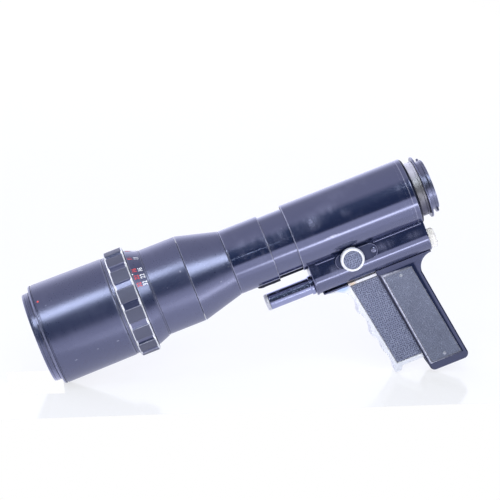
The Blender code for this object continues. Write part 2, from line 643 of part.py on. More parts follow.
def rear_barrel(barrel):
    """Cone with its sleeve, the thin focus tube inside it, the light baffle and the drive rail."""
    spigot = HEAD_BORE_R - GAP
    spigot_front = CONE_FRONT - CONE_SPIGOT
    cone = turned("cone_barrel", [
        (spigot_front, spigot - CONE_WALL), (spigot_front, spigot), (CONE_FRONT, spigot),
        (CONE_FRONT, HEAD_R), (CONE_REAR, SLEEVE_R), (BARREL_REAR, SLEEVE_R),
        (BARREL_REAR, SLEEVE_BORE_R), (CONE_REAR, SLEEVE_BORE_R), (CONE_REAR, TUBE_BORE_R),
        (CONE_REAR - CONE_WALL, TUBE_BORE_R),
    ], "black_paint", parent=barrel)
    tube_rear = -FOCUS_TUBE_REAR_SETBACK
    turned("focus_tube", rod_profile(CONE_REAR + GAP, tube_rear, FOCUS_TUBE_R, TUBE_BORE_R),
           "black_anodised", parent=barrel)
    baffle_x = tube_rear - BAFFLE_SETBACK
    turned("light_baffle", rod_profile(baffle_x, baffle_x + BAFFLE_THICKNESS, TUBE_BORE_R - GAP, BAFFLE_R),
           "inner_black", INNER_STEPS, parent=barrel)

    rail = extruded("drive_rail", rail_outline(0.0), RAIL_BOTTOM, RAIL_TOP, "black_anodised", "Z",
                    parent=barrel)
    slot = extruded("rail_slot", rail_outline(GAP), RAIL_BOTTOM - GAP, -TUBE_BORE_R, None, "Z",
                    parent=barrel)
    modify(cone, "DIFFERENCE", slot)
    shank_top = RAIL_TOP - GAP
    for i in range(2):
        at = (RAIL_FRONT + RAIL_HALF_WIDTH + RAIL_SCREW_PITCH * i, 0, 0)
        through = rod_profile(RAIL_BOTTOM - GAP, RAIL_TOP + GAP, RAIL_SCREW_R + GAP)
        hole = turned(f"rail_hole_{i + 1}", through, None, SMALL_STEPS, "Z", at, barrel)
        modify(rail, "DIFFERENCE", hole)
        under = RAIL_BOTTOM - GAP
        turned(f"rail_screw_{i + 1}", [
            (under - RAIL_SCREW_HEAD, 0), (under - RAIL_SCREW_HEAD, RAIL_SCREW_HEAD_R),
            (under, RAIL_SCREW_HEAD_R), (under, RAIL_SCREW_R), (shank_top, RAIL_SCREW_R), (shank_top, 0),
        ], "steel", SMALL_STEPS, "Z", at, barrel)


def rail_outline(offset):
    """Plan of the drive rail: a round front end and a square rear end."""
    half = RAIL_HALF_WIDTH + offset
    centre = (RAIL_FRONT + RAIL_HALF_WIDTH, 0)
    rear = CARRIAGE_REAR + offset
    return arc(centre, half, 90, 270, CORNER_STEPS) + [(rear, -half), (rear, half)]


def carriage_group(barrel):
    """Carriage in the casting, the guide rod in its front and the return spring behind it."""
    carriage = block("carriage", (CARRIAGE_FRONT, -CARRIAGE_HALF_WIDTH, CARRIAGE_BOTTOM),
                     (CARRIAGE_REAR, CARRIAGE_HALF_WIDTH, CARRIAGE_TOP), "steel", parent=barrel)
    bridge = block("carriage_bridge", (CARRIAGE_FRONT + RUN, -RAIL_HALF_WIDTH, CARRIAGE_TOP - GAP),
                   (CARRIAGE_REAR - RUN, RAIL_HALF_WIDTH, RAIL_BOTTOM - GAP), None, parent=barrel)
    modify(carriage, "UNION", bridge)
    rod_rear = CARRIAGE_FRONT + GUIDE_ROD_SEAT
    seat = turned("rod_seat", rod_profile(CARRIAGE_FRONT - GAP, rod_rear + GAP, GUIDE_ROD_R + GAP), None,
                  SMALL_STEPS, at=(0, 0, GUIDE_Z), parent=barrel)
    modify(carriage, "DIFFERENCE", seat)
    turned("guide_rod", rod_profile(GUIDE_FRONT + GUIDE_ROD_SETBACK, rod_rear, GUIDE_ROD_R), "steel",
           SMALL_STEPS, at=(0, 0, GUIDE_Z), parent=barrel)
    return_spring(barrel)


def return_spring(barrel):
    """Compression spring between the carriage and the tension nut, as one helical wire."""
    start = CARRIAGE_REAR + GAP + SPRING_WIRE_R
    length = NUT_FRONT - GAP - SPRING_WIRE_R - start
    count = SPRING_TURNS * SPRING_POINTS + 1
    points = []
    for i in range(count):
        angle = math.tau * i / SPRING_POINTS
        points.append(Vector((start + length * i / (count - 1), SPRING_R * math.cos(angle),
                              GUIDE_Z + SPRING_R * math.sin(angle))))
    apart = min((points[i + SPRING_POINTS] - points[i]).length for i in range(count - SPRING_POINTS))
    print(f"return_spring least gap between turns: {(apart - 2 * SPRING_WIRE_R) / MM:.2f} mm")
    curve = bpy.data.curves.new("return_spring", "CURVE")
    curve.dimensions = "3D"
    curve.bevel_depth = SPRING_WIRE_R
    curve.bevel_resolution = 1
    curve.use_fill_caps = True
    spline = curve.splines.new("POLY")
    spline.points.add(count - 1)
    for point, place in zip(spline.points, points):
        point.co = (*place, 1.0)
    spline.use_smooth = True
    spring = bpy.data.objects.new("return_spring", curve)
    spring.parent = barrel
    bpy.context.collection.objects.link(spring)
    curve.materials.append(finish_material("steel"))


def housing_group():
    """Housing tube with its two guide bushes, rear trim ring, mount sleeve and bayonet."""
    stroke_end = CARRIAGE_REAR + FOCUS_STROKE + STROKE_MARGIN
    half = RAIL_HALF_WIDTH + RUN
    channel = block("rail_channel", (HOUSING_FRONT - STROKE_MARGIN, -half, RAIL_BOTTOM - RUN),
                    (stroke_end, half, -TUBE_BORE_R), None)
    tube = turned("housing_tube", rod_profile(HOUSING_FRONT, HOUSING_REAR, HOUSING_R, HOUSING_BORE_R),
                  "black_paint")
    modify(tube, "DIFFERENCE", channel)
    bush_rears = {
        "front_guide_bush": HOUSING_FRONT + RUN + BUSH_LENGTH,
        "rear_guide_bush": HOUSING_REAR - REAR_BUSH_SETBACK,
    }
    for name, rear in bush_rears.items():
        bush = turned(name, rod_profile(rear - BUSH_LENGTH, rear, HOUSING_BORE_R - GAP, BUSH_BORE_R),
                      "brass")
        modify(bush, "DIFFERENCE", channel)

    spigot = HOUSING_BORE_R - GAP
    bore = MOUNT_SPIGOT_R + GAP
    groove = TRIM_FRONT + TRIM_GROOVE
    turned("rear_trim_ring", [
        (TRIM_FRONT - TRIM_SPIGOT, bore), (TRIM_FRONT - TRIM_SPIGOT, spigot), (TRIM_FRONT, spigot),
        (TRIM_FRONT, HOUSING_R - TRIM_GROOVE), (groove, HOUSING_R - TRIM_GROOVE), (groove, HOUSING_R),
        (TRIM_REAR - TRIM_GROOVE, HOUSING_R), (TRIM_REAR, HOUSING_R - TRIM_GROOVE), (TRIM_REAR, bore),
    ], "black_paint")
    shoulder = MOUNT_SLEEVE_REAR - MOUNT_SLEEVE_LENGTH
    turned("mount_sleeve", [
        (shoulder - MOUNT_SPIGOT_LENGTH, THROAT_BORE_R), (shoulder - MOUNT_SPIGOT_LENGTH, MOUNT_SPIGOT_R),
        (shoulder, MOUNT_SPIGOT_R), (shoulder, MOUNT_SLEEVE_R), (MOUNT_SLEEVE_REAR, MOUNT_SLEEVE_R),
        (MOUNT_SLEEVE_REAR, THROAT_BORE_R),
    ], "cast_silver")
    bayonet()
    return channel


def bayonet():
    """Flange, throat and lugs in one piece; only the flange's outer rim is the seating face."""
    rim = FLANGE_R - FLANGE_RIM
    lug_rear = THROAT_LENGTH - LUG_SETBACK
    lug_front = lug_rear - LUG_THICKNESS
    lug_r = THROAT_R + LUG_HEIGHT
    turned("bayonet_mount", [
        (-FLANGE_THICKNESS, THROAT_BORE_R), (-FLANGE_THICKNESS, FLANGE_R), (0, FLANGE_R), (0, rim),
        (-FLANGE_RELIEF, rim), (-FLANGE_RELIEF, THROAT_R), (lug_front, THROAT_R), (lug_front, lug_r),
        (lug_rear, lug_r), (lug_rear, THROAT_R), (THROAT_LENGTH, THROAT_R), (THROAT_LENGTH, THROAT_BORE_R),
    ], "dark_steel", reshape=trim_lugs)


def trim_lugs(point):
    """Leave the bayonet ring at full height only within each lug's sweep."""
    radius = math.hypot(point.y, point.z)
    if point.x <= 0 or radius < THROAT_R + LUG_HEIGHT / 2:
        return
    pitch = 360.0 / LUG_COUNT
    if math.degrees(math.atan2(point.z, point.y)) % pitch > LUG_SWEEP_DEG:
        factor = (THROAT_R + LUG_ROOT) / radius
        point.y *= factor
        point.z *= factor


def casting_section(offset, saddle):
    """Cross-section of the casting in (y, z): rounded below, hollowed above to sit on the tube."""
    half = CASTING_HALF_WIDTH + offset
    corner = CASTING_CORNER + offset
    side = CASTING_HALF_WIDTH - CASTING_CORNER
    level = CASTING_BOTTOM + CASTING_CORNER
    lean = math.degrees(math.acos(half / saddle))
    return (arc((-side, level), corner, 180, 270, CORNER_STEPS)
            + arc((side, level), corner, 270, 360, CORNER_STEPS)
            + arc((0, 0), saddle, -lean, lean - 180, SADDLE_STEPS))


def casting_group(channel):
    """Lower casting with its cavity, front end plate and bottom plate."""
    saddle = HOUSING_R + GAP
    casting = extruded("lower_casting", casting_section(0.0, saddle), CASTING_FRONT, CASTING_REAR,
                       "black_paint", "X")
    cavity = block("cavity", (CASTING_FRONT - GAP, -CAVITY_HALF_WIDTH, CAVITY_BOTTOM),
                   (CAVITY_REAR, CAVITY_HALF_WIDTH, 0), None)
    neck_front = GRIP_CORNER_POINT.x + NECK_FRONT - STROKE_MARGIN
    neck_rear = GRIP_CORNER_POINT.x + NECK_FRONT + NECK_LENGTH + FOCUS_STROKE + STROKE_MARGIN
    half = NECK_HALF_WIDTH + RUN
    trigger_slot = block("trigger_slot", (neck_front, -half, CASTING_BOTTOM - GAP),
                         (neck_rear, half, CAVITY_BOTTOM + GAP), None)
    screw_bore = rod_profile(CAVITY_REAR - GAP, CASTING_REAR + GAP, KNOB_SCREW_R + RUN)
    screw_hole = turned("tension_hole", screw_bore, None, SMALL_STEPS, at=(0, 0, GUIDE_Z))
    lock_bore = rod_profile(CASTING_SIDE - GAP, -CAVITY_HALF_WIDTH + GAP, LOCK_SHAFT_R + RUN)
    lock_hole = turned("lock_hole", lock_bore, None, SMALL_STEPS, "Y", (LOCK_X, 0, LOCK_Z))
    modify(casting, "DIFFERENCE", cavity, trigger_slot, screw_hole, lock_hole)

    plate = extruded("front_end_plate", casting_section(END_PLATE_FLARE, saddle), PLATE_FRONT, PLATE_REAR,
                     "black_paint", "X")
    tube_bore = rod_profile(PLATE_FRONT - GAP, PLATE_REAR + GAP, GUIDE_TUBE_R + GAP)
    tube_hole = turned("guide_hole", tube_bore, None, INNER_STEPS, at=(0, 0, GUIDE_Z))
    modify(plate, "DIFFERENCE", channel, tube_hole)

    top = CASTING_BOTTOM - GAP
    rear = GRIP_CORNER_POINT.x + TRIGGER_STEP - BOTTOM_PLATE_CLEARANCE
    block("bottom_plate", (CASTING_FRONT, -BOTTOM_PLATE_HALF_WIDTH, top - BOTTOM_PLATE_THICKNESS),
          (rear, BOTTOM_PLATE_HALF_WIDTH, top), "black_anodised")


def guide_tube():
    """Tube that takes the guide rod, with its collar against the end plate and a plugged front end."""
    at = (0, 0, GUIDE_Z)
    bore = GUIDE_ROD_R + RUN
    front = GUIDE_FRONT
    rear = PLATE_FRONT + GUIDE_TUBE_SEAT
    collar_rear = GUIDE_COLLAR_REAR
    collar_front = collar_rear - GUIDE_COLLAR_LENGTH
    turned("guide_tube", [
        (front, bore), (front, GUIDE_TUBE_R), (collar_front, GUIDE_TUBE_R), (collar_front, GUIDE_COLLAR_R),
        (collar_rear, GUIDE_COLLAR_R), (collar_rear, GUIDE_TUBE_R), (rear, GUIDE_TUBE_R), (rear, bore),
    ], "dark_steel", INNER_STEPS, at=at)
    cap_rear = front - GAP
    cap_front = cap_rear - GUIDE_CAP_LENGTH
    turned("guide_tube_cap", [
        (cap_front, 0), (cap_front, GUIDE_TUBE_R - GUIDE_CAP_CHAMFER),
        (cap_front + GUIDE_CAP_CHAMFER, GUIDE_TUBE_R), (cap_rear, GUIDE_TUBE_R), (cap_rear, 0),
    ], "cast_silver", INNER_STEPS, at=at)


def tension_group():
    """Captive knob behind the casting whose screw drives a nut against the return spring."""
    turn = joint_empty("tension_turn", (0, 0, GUIDE_Z))
    knob_front = CASTING_REAR + RUN
    knob_rear = knob_front + TENSION_KNOB_LENGTH
    screw_tip = NUT_FRONT + RUN
    turned("tension_knob", [
        (screw_tip, 0), (screw_tip, KNOB_SCREW_R), (knob_front, KNOB_SCREW_R),
        (knob_front, TENSION_KNOB_R), (knob_rear - TENSION_KNOB_CHAMFER, TENSION_KNOB_R),
        (knob_rear, TENSION_KNOB_R - TENSION_KNOB_CHAMFER), (knob_rear, 0),
    ], "chrome", INNER_STEPS, parent=turn)
    nut = block("tension_nut", (NUT_FRONT, -TENSION_NUT_HALF, -TENSION_NUT_HALF),
                (NUT_REAR, TENSION_NUT_HALF, TENSION_NUT_HALF), "brass", (0, 0, GUIDE_Z))
    thread = turned("nut_thread", rod_profile(NUT_FRONT - GAP, NUT_REAR + GAP, KNOB_SCREW_R + GAP), None,
                    SMALL_STEPS, at=(0, 0, GUIDE_Z))
    modify(nut, "DIFFERENCE", thread)


def lock_group():
    """Escutcheon, its screw, and the knob whose shaft presses a shoe on the carriage."""
    at = (LOCK_X, 0, LOCK_Z)
    plate_inner = CASTING_SIDE - GAP
    plate_outer = plate_inner - ESCUTCHEON_THICKNESS
    outline = [(x + ESCUTCHEON_SHIFT, z) for x, z in stadium(ESCUTCHEON_LENGTH, ESCUTCHEON_HEIGHT)]
    plate = extruded("escutcheon", outline, plate_outer, plate_inner, "black_paint", "Y", at)
    shaft_bore = rod_profile(plate_outer - GAP, plate_inner + GAP, LOCK_SHAFT_R + RUN)
    shaft_hole = turned("escutcheon_hole", shaft_bore, None, SMALL_STEPS, "Y", at)
    screw_at = (LOCK_X + ESCUTCHEON_SCREW_OFFSET, 0, LOCK_Z)
    screw_bore = rod_profile(plate_outer - GAP, plate_inner + GAP, ESCUTCHEON_SCREW_R + GAP)
    screw_hole = turned("screw_hole", screw_bore, None, SMALL_STEPS, "Y", screw_at)
    modify(plate, "DIFFERENCE", shaft_hole, screw_hole)
    screw_head("escutcheon_screw", plate_outer, ESCUTCHEON_SCREW_HEAD_R, SCREW_HEAD, ESCUTCHEON_SCREW_R,
               SCREW_SHANK, screw_at, -1)

    turn = joint_empty("lock_turn", at)
    back = plate_outer - RUN
    rim = back - LOCK_BOSS_LENGTH
    face = back - LOCK_KNOB_LENGTH
    leather_floor = face + LOCK_LEATHER + GAP
    leather_bore = LOCK_LEATHER_R + GAP
    shaft_end = back - LOCK_SHAFT_GRIP
    turned("lock_knob", [
        (back, LOCK_SHAFT_R + GAP), (back, LOCK_BOSS_R), (rim, LOCK_BOSS_R), (rim, LOCK_KNOB_R),
        (face + LOCK_KNOB_CHAMFER, LOCK_KNOB_R), (face, LOCK_KNOB_R - LOCK_KNOB_CHAMFER),
        (face, leather_bore), (leather_floor, leather_bore), (leather_floor, 0), (shaft_end - GAP, 0),
        (shaft_end - GAP, LOCK_SHAFT_R + GAP),
    ], "chrome", INNER_STEPS, "Y", parent=turn)
    turned("lock_knob_leather", rod_profile(face, face + LOCK_LEATHER, LOCK_LEATHER_R), "leather",
           INNER_STEPS, "Y", parent=turn)
    turned("lock_shaft", rod_profile(shaft_end, -CAVITY_HALF_WIDTH, LOCK_SHAFT_R), "steel", SMALL_STEPS,
           "Y", parent=turn)
    shoe_outer = -CAVITY_HALF_WIDTH + GAP
    shoe_top = LOCK_Z + LOCK_SHOE_RISE
    block("lock_shoe", (LOCK_X - LOCK_SHOE_HALF_LENGTH, shoe_outer, shoe_top - LOCK_SHOE_HEIGHT),
          (LOCK_X + LOCK_SHOE_HALF_LENGTH, shoe_outer + LOCK_SHOE_THICKNESS, shoe_top), "brass")


def screw_head(name, seat, head_r, head, shank_r, shank, at, side):
    """Small screw along Y, with its head standing off the seat on the given side."""
    under = seat + side * GAP
    top = under + side * head
    tip = seat - side * shank
    turned(name, [(top, 0), (top, head_r), (under, head_r), (under, shank_r), (tip, shank_r), (tip, 0)],
           "steel", SMALL_STEPS, "Y", at)


def grip_front(height):
    """Where the grip's front edge is, at a height below the casting."""
    return GRIP_LEAN * height


def grip_outline():
    """Side view of the grip in its own coordinates, going round from the front edge."""
    front = grip_front(GRIP_HEIGHT) + GRIP_CORNER
    rear = grip_front(GRIP_HEIGHT) + GRIP_DEPTH - GRIP_CORNER
    level = GRIP_CORNER - GRIP_HEIGHT
    lean_deg = math.degrees(math.atan(GRIP_LEAN))
    outline = arc((front, level), GRIP_CORNER, 180 + lean_deg, 270, CORNER_STEPS)
    outline += arc((rear, level), GRIP_CORNER, 270, 360 + lean_deg, CORNER_STEPS)
    tang_x = grip_front(GRIP_TANG) + GRIP_DEPTH
    outline += arc((tang_x + GRIP_TANG, -GRIP_TANG), GRIP_TANG, 180, 90, CORNER_STEPS)
    return outline + [(tang_x + GRIP_TANG, GRIP_SADDLE), (0, GRIP_SADDLE), (0, 0)]


def panel_outline(offset):
    """Side panel of the grip, inset from the grip's edges."""
    inset = PANEL_BORDER - offset
    points = []
    for height, side in ((PANEL_TOP - offset, 0), (PANEL_BOTTOM + offset, 0),
                         (PANEL_BOTTOM + offset, 1), (PANEL_TOP - offset, 1)):
        edge = grip_front(height) + (GRIP_DEPTH - inset if side else inset)
        points.append((edge, -height))
    return points


def grip_group():
    """Hollow grip that the trigger slides into, its side panels and screws, and the tripod bush."""
    at = GRIP_CORNER_POINT
    shell = extruded("grip_shell", grip_outline(), -GRIP_HALF_WIDTH, GRIP_HALF_WIDTH, "grip_plastic", "Y",
                     at, soften=GRIP_ROUND)
    seat = extruded("grip_seat", casting_section(GAP, HOUSING_R), CASTING_FRONT, CASTING_REAR + GRIP_TANG,
                    None, "X")
    inner = GRIP_HALF_WIDTH - GRIP_SIDE_WALL
    floor = GRIP_HEIGHT - GRIP_FLOOR
    back = GRIP_DEPTH - GRIP_BACK_WALL
    room = [(-GRIP_DEPTH, 2 * GRIP_SADDLE), (-GRIP_DEPTH, -floor), (grip_front(floor) + back, -floor),
            (back, 0), (back, 2 * GRIP_SADDLE)]
    channel = extruded("grip_channel", room, -inner, inner, None, "Y", at)
    bush_x = grip_front(GRIP_HEIGHT) + GRIP_DEPTH / 2
    bush_at = at + Vector((bush_x, 0, -GRIP_HEIGHT))
    socket = rod_profile(-GAP, GRIP_FLOOR + GAP, TRIPOD_BUSH_R + GAP)
    pocket = turned("bush_pocket", socket, None, SMALL_STEPS, "Z", bush_at)
    modify(shell, "DIFFERENCE", seat, channel, pocket)
    turned("tripod_bush", rod_profile(0, GRIP_FLOOR, TRIPOD_BUSH_R, TRIPOD_BORE_R), "steel", SMALL_STEPS,
           "Z", bush_at)
    for name, side in (("left", -1), ("right", 1)):
        grip_panel(shell, name, side)


def grip_panel(shell, name, side):
    """Textured panel let into one side of the grip, held by a small screw near each end."""
    at = GRIP_CORNER_POINT
    outer = side * GRIP_HALF_WIDTH
    recess = side * (PANEL_THICKNESS + GAP)
    pocket = extruded(f"panel_pocket_{name}", panel_outline(GAP), outer - recess, outer + recess, None, "Y",
                      at)
    modify(shell, "DIFFERENCE", pocket)
    panel = extruded(f"grip_panel_{name}", panel_outline(0.0), outer - side * PANEL_THICKNESS, outer,
                     "leather", "Y", at)
    for end, height in (("upper", PANEL_TOP + PANEL_BORDER), ("lower", PANEL_BOTTOM - PANEL_BORDER)):
        screw_at = at + Vector((grip_front(height) + GRIP_DEPTH / 2, 0, -height))
        through = rod_profile(outer - recess, outer + side * GAP, PANEL_SCREW_R + GAP)
        hole = turned(f"panel_hole_{name}_{end}", through, None, SMALL_STEPS, "Y", screw_at)
        modify(panel, "DIFFERENCE", hole)
        screw_head(f"panel_screw_{name}_{end}", outer, PANEL_SCREW_HEAD_R, PANEL_SCREW_HEAD, PANEL_SCREW_R,
                   PANEL_THICKNESS - GAP, screw_at, side)


def trigger_outline():
    """Side view of the trigger: finger grooves in front, a step under the casting, a heel in the grip."""
    outline = []
    for start, end, depth in zip(FINGER_CUSPS, FINGER_CUSPS[1:], FINGER_DEPTHS):
        outline += bow(start, end, depth, CORNER_STEPS)
    tip = FINGER_CUSPS[-1]
    rear = TRIGGER_ENTRY
    outline += [(tip.x, tip.y), (tip.x + TRIGGER_TIP, tip.y), (tip.x + TRIGGER_HEEL, -TRIGGER_HEIGHT),
                (grip_front(TRIGGER_HEIGHT) + rear, -TRIGGER_HEIGHT), (grip_front(GAP) + rear, -GAP),
                (TRIGGER_STEP, -GAP), (TRIGGER_STEP, -SPUR_TOP), (FINGER_CUSPS[0].x, -SPUR_TOP)]
    return outline


def leather_outline(offset):
    """Leather on the trigger's side: its front edge leans with the grooves, its rear is in the grip."""
    points = []
    for height in (LEATHER_TOP - offset, LEATHER_BOTTOM + offset):
        front = LEATHER_FRONT + LEATHER_LEAN * (height - LEATHER_TOP) - offset
        rear = grip_front(height) + TRIGGER_ENTRY - LEATHER_REAR_INSET + offset
        points.append(((front, -height), (rear, -height)))
    (top_front, top_rear), (bottom_front, bottom_rear) = points
    return [top_front, bottom_front, bottom_rear, top_rear]


def trigger_group(barrel):
    """Cast trigger with a neck up to the carriage and a leather panel let into each side."""
    at = GRIP_CORNER_POINT
    half = TRIGGER_HALF_WIDTH
    trigger = extruded("trigger", trigger_outline(), -half, half, "cast_silver", "Y", at, barrel)
    neck_top = CARRIAGE_BOTTOM - GAP - CASTING_BOTTOM
    neck = block("trigger_neck", (NECK_FRONT, -NECK_HALF_WIDTH, -LEATHER_TOP),
                 (NECK_FRONT + NECK_LENGTH, NECK_HALF_WIDTH, neck_top), None, at, barrel)
    modify(trigger, "UNION", neck)
    recess = LEATHER_THICKNESS + GAP
    for name, side in (("left", -1), ("right", 1)):
        outer = side * half
        pocket = extruded(f"leather_pocket_{name}", leather_outline(GAP), outer - side * recess,
                          outer + side * recess, None, "Y", at, barrel)
        modify(trigger, "DIFFERENCE", pocket)
        extruded(f"trigger_leather_{name}", leather_outline(0.0), outer - side * LEATHER_THICKNESS, outer,
                 "leather", "Y", at, barrel)


def build():
    clear_scene()
    barrel = joint_empty("focus_slide")
    front_group(barrel)
    hood_group(joint_empty("hood_slide", parent=barrel))
    aperture_group(barrel, joint_empty("aperture_turn", parent=barrel))
    rear_barrel(barrel)
    carriage_group(barrel)
    trigger_group(barrel)
    channel = housing_group()
    casting_group(channel)
    guide_tube()
    tension_group()
    lock_group()
    grip_group()


build()
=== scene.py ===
from math import acos, asin, atan, atan2, cos, degrees, floor, hypot, pi, radians, sin, sqrt, tan, tau

import bmesh
import bpy
from mathutils import Matrix, Vector, noise


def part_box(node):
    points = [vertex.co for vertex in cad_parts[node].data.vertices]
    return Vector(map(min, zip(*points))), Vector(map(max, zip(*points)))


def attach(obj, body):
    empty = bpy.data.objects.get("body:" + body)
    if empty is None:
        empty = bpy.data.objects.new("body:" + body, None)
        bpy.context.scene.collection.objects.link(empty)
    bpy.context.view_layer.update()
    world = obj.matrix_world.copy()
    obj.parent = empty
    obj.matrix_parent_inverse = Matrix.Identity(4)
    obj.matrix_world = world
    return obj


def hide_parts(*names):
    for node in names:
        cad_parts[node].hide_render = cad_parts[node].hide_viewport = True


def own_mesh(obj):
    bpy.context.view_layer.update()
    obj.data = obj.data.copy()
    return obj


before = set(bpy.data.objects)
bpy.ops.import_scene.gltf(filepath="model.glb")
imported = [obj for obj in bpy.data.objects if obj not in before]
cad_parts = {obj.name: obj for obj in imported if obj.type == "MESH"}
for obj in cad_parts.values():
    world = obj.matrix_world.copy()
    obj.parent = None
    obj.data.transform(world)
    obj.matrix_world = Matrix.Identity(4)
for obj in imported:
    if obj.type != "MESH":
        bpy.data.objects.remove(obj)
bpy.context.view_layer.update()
scene = bpy.context.scene

# Everything is laid out in millimetres in the CAD frame: optical axis along X, camera body at +X, Z up.
# Angles round the barrel start at the top and go over the photographed side, which is -Y.
MM = 0.001
X, Y, Z = Vector((1, 0, 0)), Vector((0, 1, 0)), Vector((0, 0, 1))
AXES = {"X": (X, Z, -Y), "Y": (Y, Z, X), "Z": (Z, X, Y)}
PLANES = {"X": (Y, Z, X), "Y": (X, Z, Y), "Z": (X, Y, Z)}
SIDES = ((-1, "left"), (1, "right"))
STAND_DEG = 20.6        # how far the part leans on its hood and trigger tip
STAND_DROP = -171.7     # the floor under it, square to the lean
LIFT = 16.0             # colour ramps stop at 1, so the brightest strip of the room is scaled by this
GUIDE_AXIS = (0, 0, -47.5)
RAIL_HALF = 5.0
CHANNEL_HALF = 5.4      # clearance for the rail and the trigger's neck


# Node trees
def rgba(value):
    return value if isinstance(value, bpy.types.NodeSocket) else (*value, 1.0)


class Graph:
    """A node tree in the making, with short names for the nodes that are used most."""

    def __init__(self, tree):
        self.tree = tree

    def add(self, kind, settings, inputs):
        node = self.tree.nodes.new(kind)
        for key, value in settings.items():
            setattr(node, key, value)
        for key, value in inputs.items():
            if isinstance(value, bpy.types.NodeSocket):
                self.tree.links.new(value, node.inputs[key])
            else:
                node.inputs[key].default_value = value
        return node

    def span(self, value, low, high, to_low=0.0, to_high=1.0):
        inputs = {"Value": value, "From Min": low, "From Max": high, "To Min": to_low, "To Max": to_high}
        return self.add("ShaderNodeMapRange", {}, inputs).outputs["Result"]

    def maths(self, operation, first, second):
        return self.add("ShaderNodeMath", {"operation": operation}, {0: first, 1: second}).outputs[0]

    def times(self, first, second):
        return self.maths("MULTIPLY", first, second)

    def most(self, first, second):
        return self.maths("MAXIMUM", first, second)

    def mix(self, factor, first, second):
        inputs = {0: factor, 6: rgba(first), 7: rgba(second)}
        return self.add("ShaderNodeMix", {"data_type": "RGBA"}, inputs).outputs[2]


class Look(Graph):
    """A material in the making: its Principled shader and the procedural nodes that feed it."""

    def __init__(self, name, slot, colour, roughness, **values):
        self.slot = slot
        self.material = bpy.data.materials.new(name)
        self.material.use_nodes = True
        super().__init__(self.material.node_tree)
        self.shader = self.tree.nodes["Principled BSDF"]
        self.normal = None
        self.place = self.tree.nodes.new("ShaderNodeTexCoord").outputs["Object"]
        values.update(Base_Color=(*colour, 1.0), Roughness=roughness)
        for key, value in values.items():
            self.shader.inputs[key.replace("_", " ")].default_value = value

    def mapped(self, kind, scale, turn, location=(0, 0, 0)):
        inputs = {"Vector": self.place, "Location": location, "Scale": scale,
                  "Rotation": [radians(angle) for angle in turn]}
        return self.add("ShaderNodeMapping", {"vector_type": kind}, inputs).outputs["Vector"]

    def noise(self, size, detail=3.0, stretch=(1, 1, 1), turn=(0, 0, 0)):
        """Cloudy noise whose features are about size millimetres across."""
        inputs = {"Vector": self.mapped("POINT", stretch, turn), "Scale": 1 / (size * MM), "Detail": detail}
        return self.add("ShaderNodeTexNoise", {}, inputs).outputs["Fac"]

    def cells(self, size, feature="F1"):
        inputs = {"Vector": self.place, "Scale": 1 / (size * MM)}
        return self.add("ShaderNodeTexVoronoi", {"feature": feature}, inputs).outputs["Distance"]

    def attribute(self, name):
        return self.add("ShaderNodeAttribute", {"attribute_name": name}, {}).outputs["Fac"]

    def hairs(self, size, width, share, stretch=(1, 1, 1), turn=(0, 0, 0)):
        """Fine broken scratches: thin level lines of a noise, kept only in patches."""
        offset = self.maths("SUBTRACT", self.noise(size, 1.5, stretch, turn), 0.5)
        line = self.span(self.maths("ABSOLUTE", offset, 0.0), width, 0.0)
        patch = self.span(self.noise(size * 0.8, 2.0, (1, 1, 1), turn), 1.0 - share, 1.06 - share)
        return self.times(line, patch)

    def spot(self, centre, size, turn=(0, 0, 0)):
        """A soft patch round one place on the piece; size is its half size along X, Y and Z."""
        local = self.mapped("TEXTURE", [s * MM for s in size], turn, [c * MM for c in centre])
        settings = {"gradient_type": "SPHERICAL"}
        return self.add("ShaderNodeTexGradient", settings, {"Vector": local}).outputs["Fac"]

    def bump(self, height, distance):
        inputs = {"Height": height, "Distance": distance * MM}
        if self.normal:
            inputs["Normal"] = self.normal
        self.normal = self.add("ShaderNodeBump", {}, inputs).outputs["Normal"]
        self.set("Normal", self.normal)

    def set(self, socket, value):
        self.tree.links.new(value, self.shader.inputs[socket])


# Finishes
PAINT = (0.010, 0.015, 0.040)
HAZE = (0.075, 0.080, 0.125)
DUST = (0.30, 0.30, 0.36)
SCRATCH = (0.34, 0.35, 0.42)
BARE = (0.62, 0.62, 0.70)
SHEEN = (0.70, 0.72, 1.0, 1.0)


def tinted(colour, factor):
    return tuple(channel * factor for channel in colour)


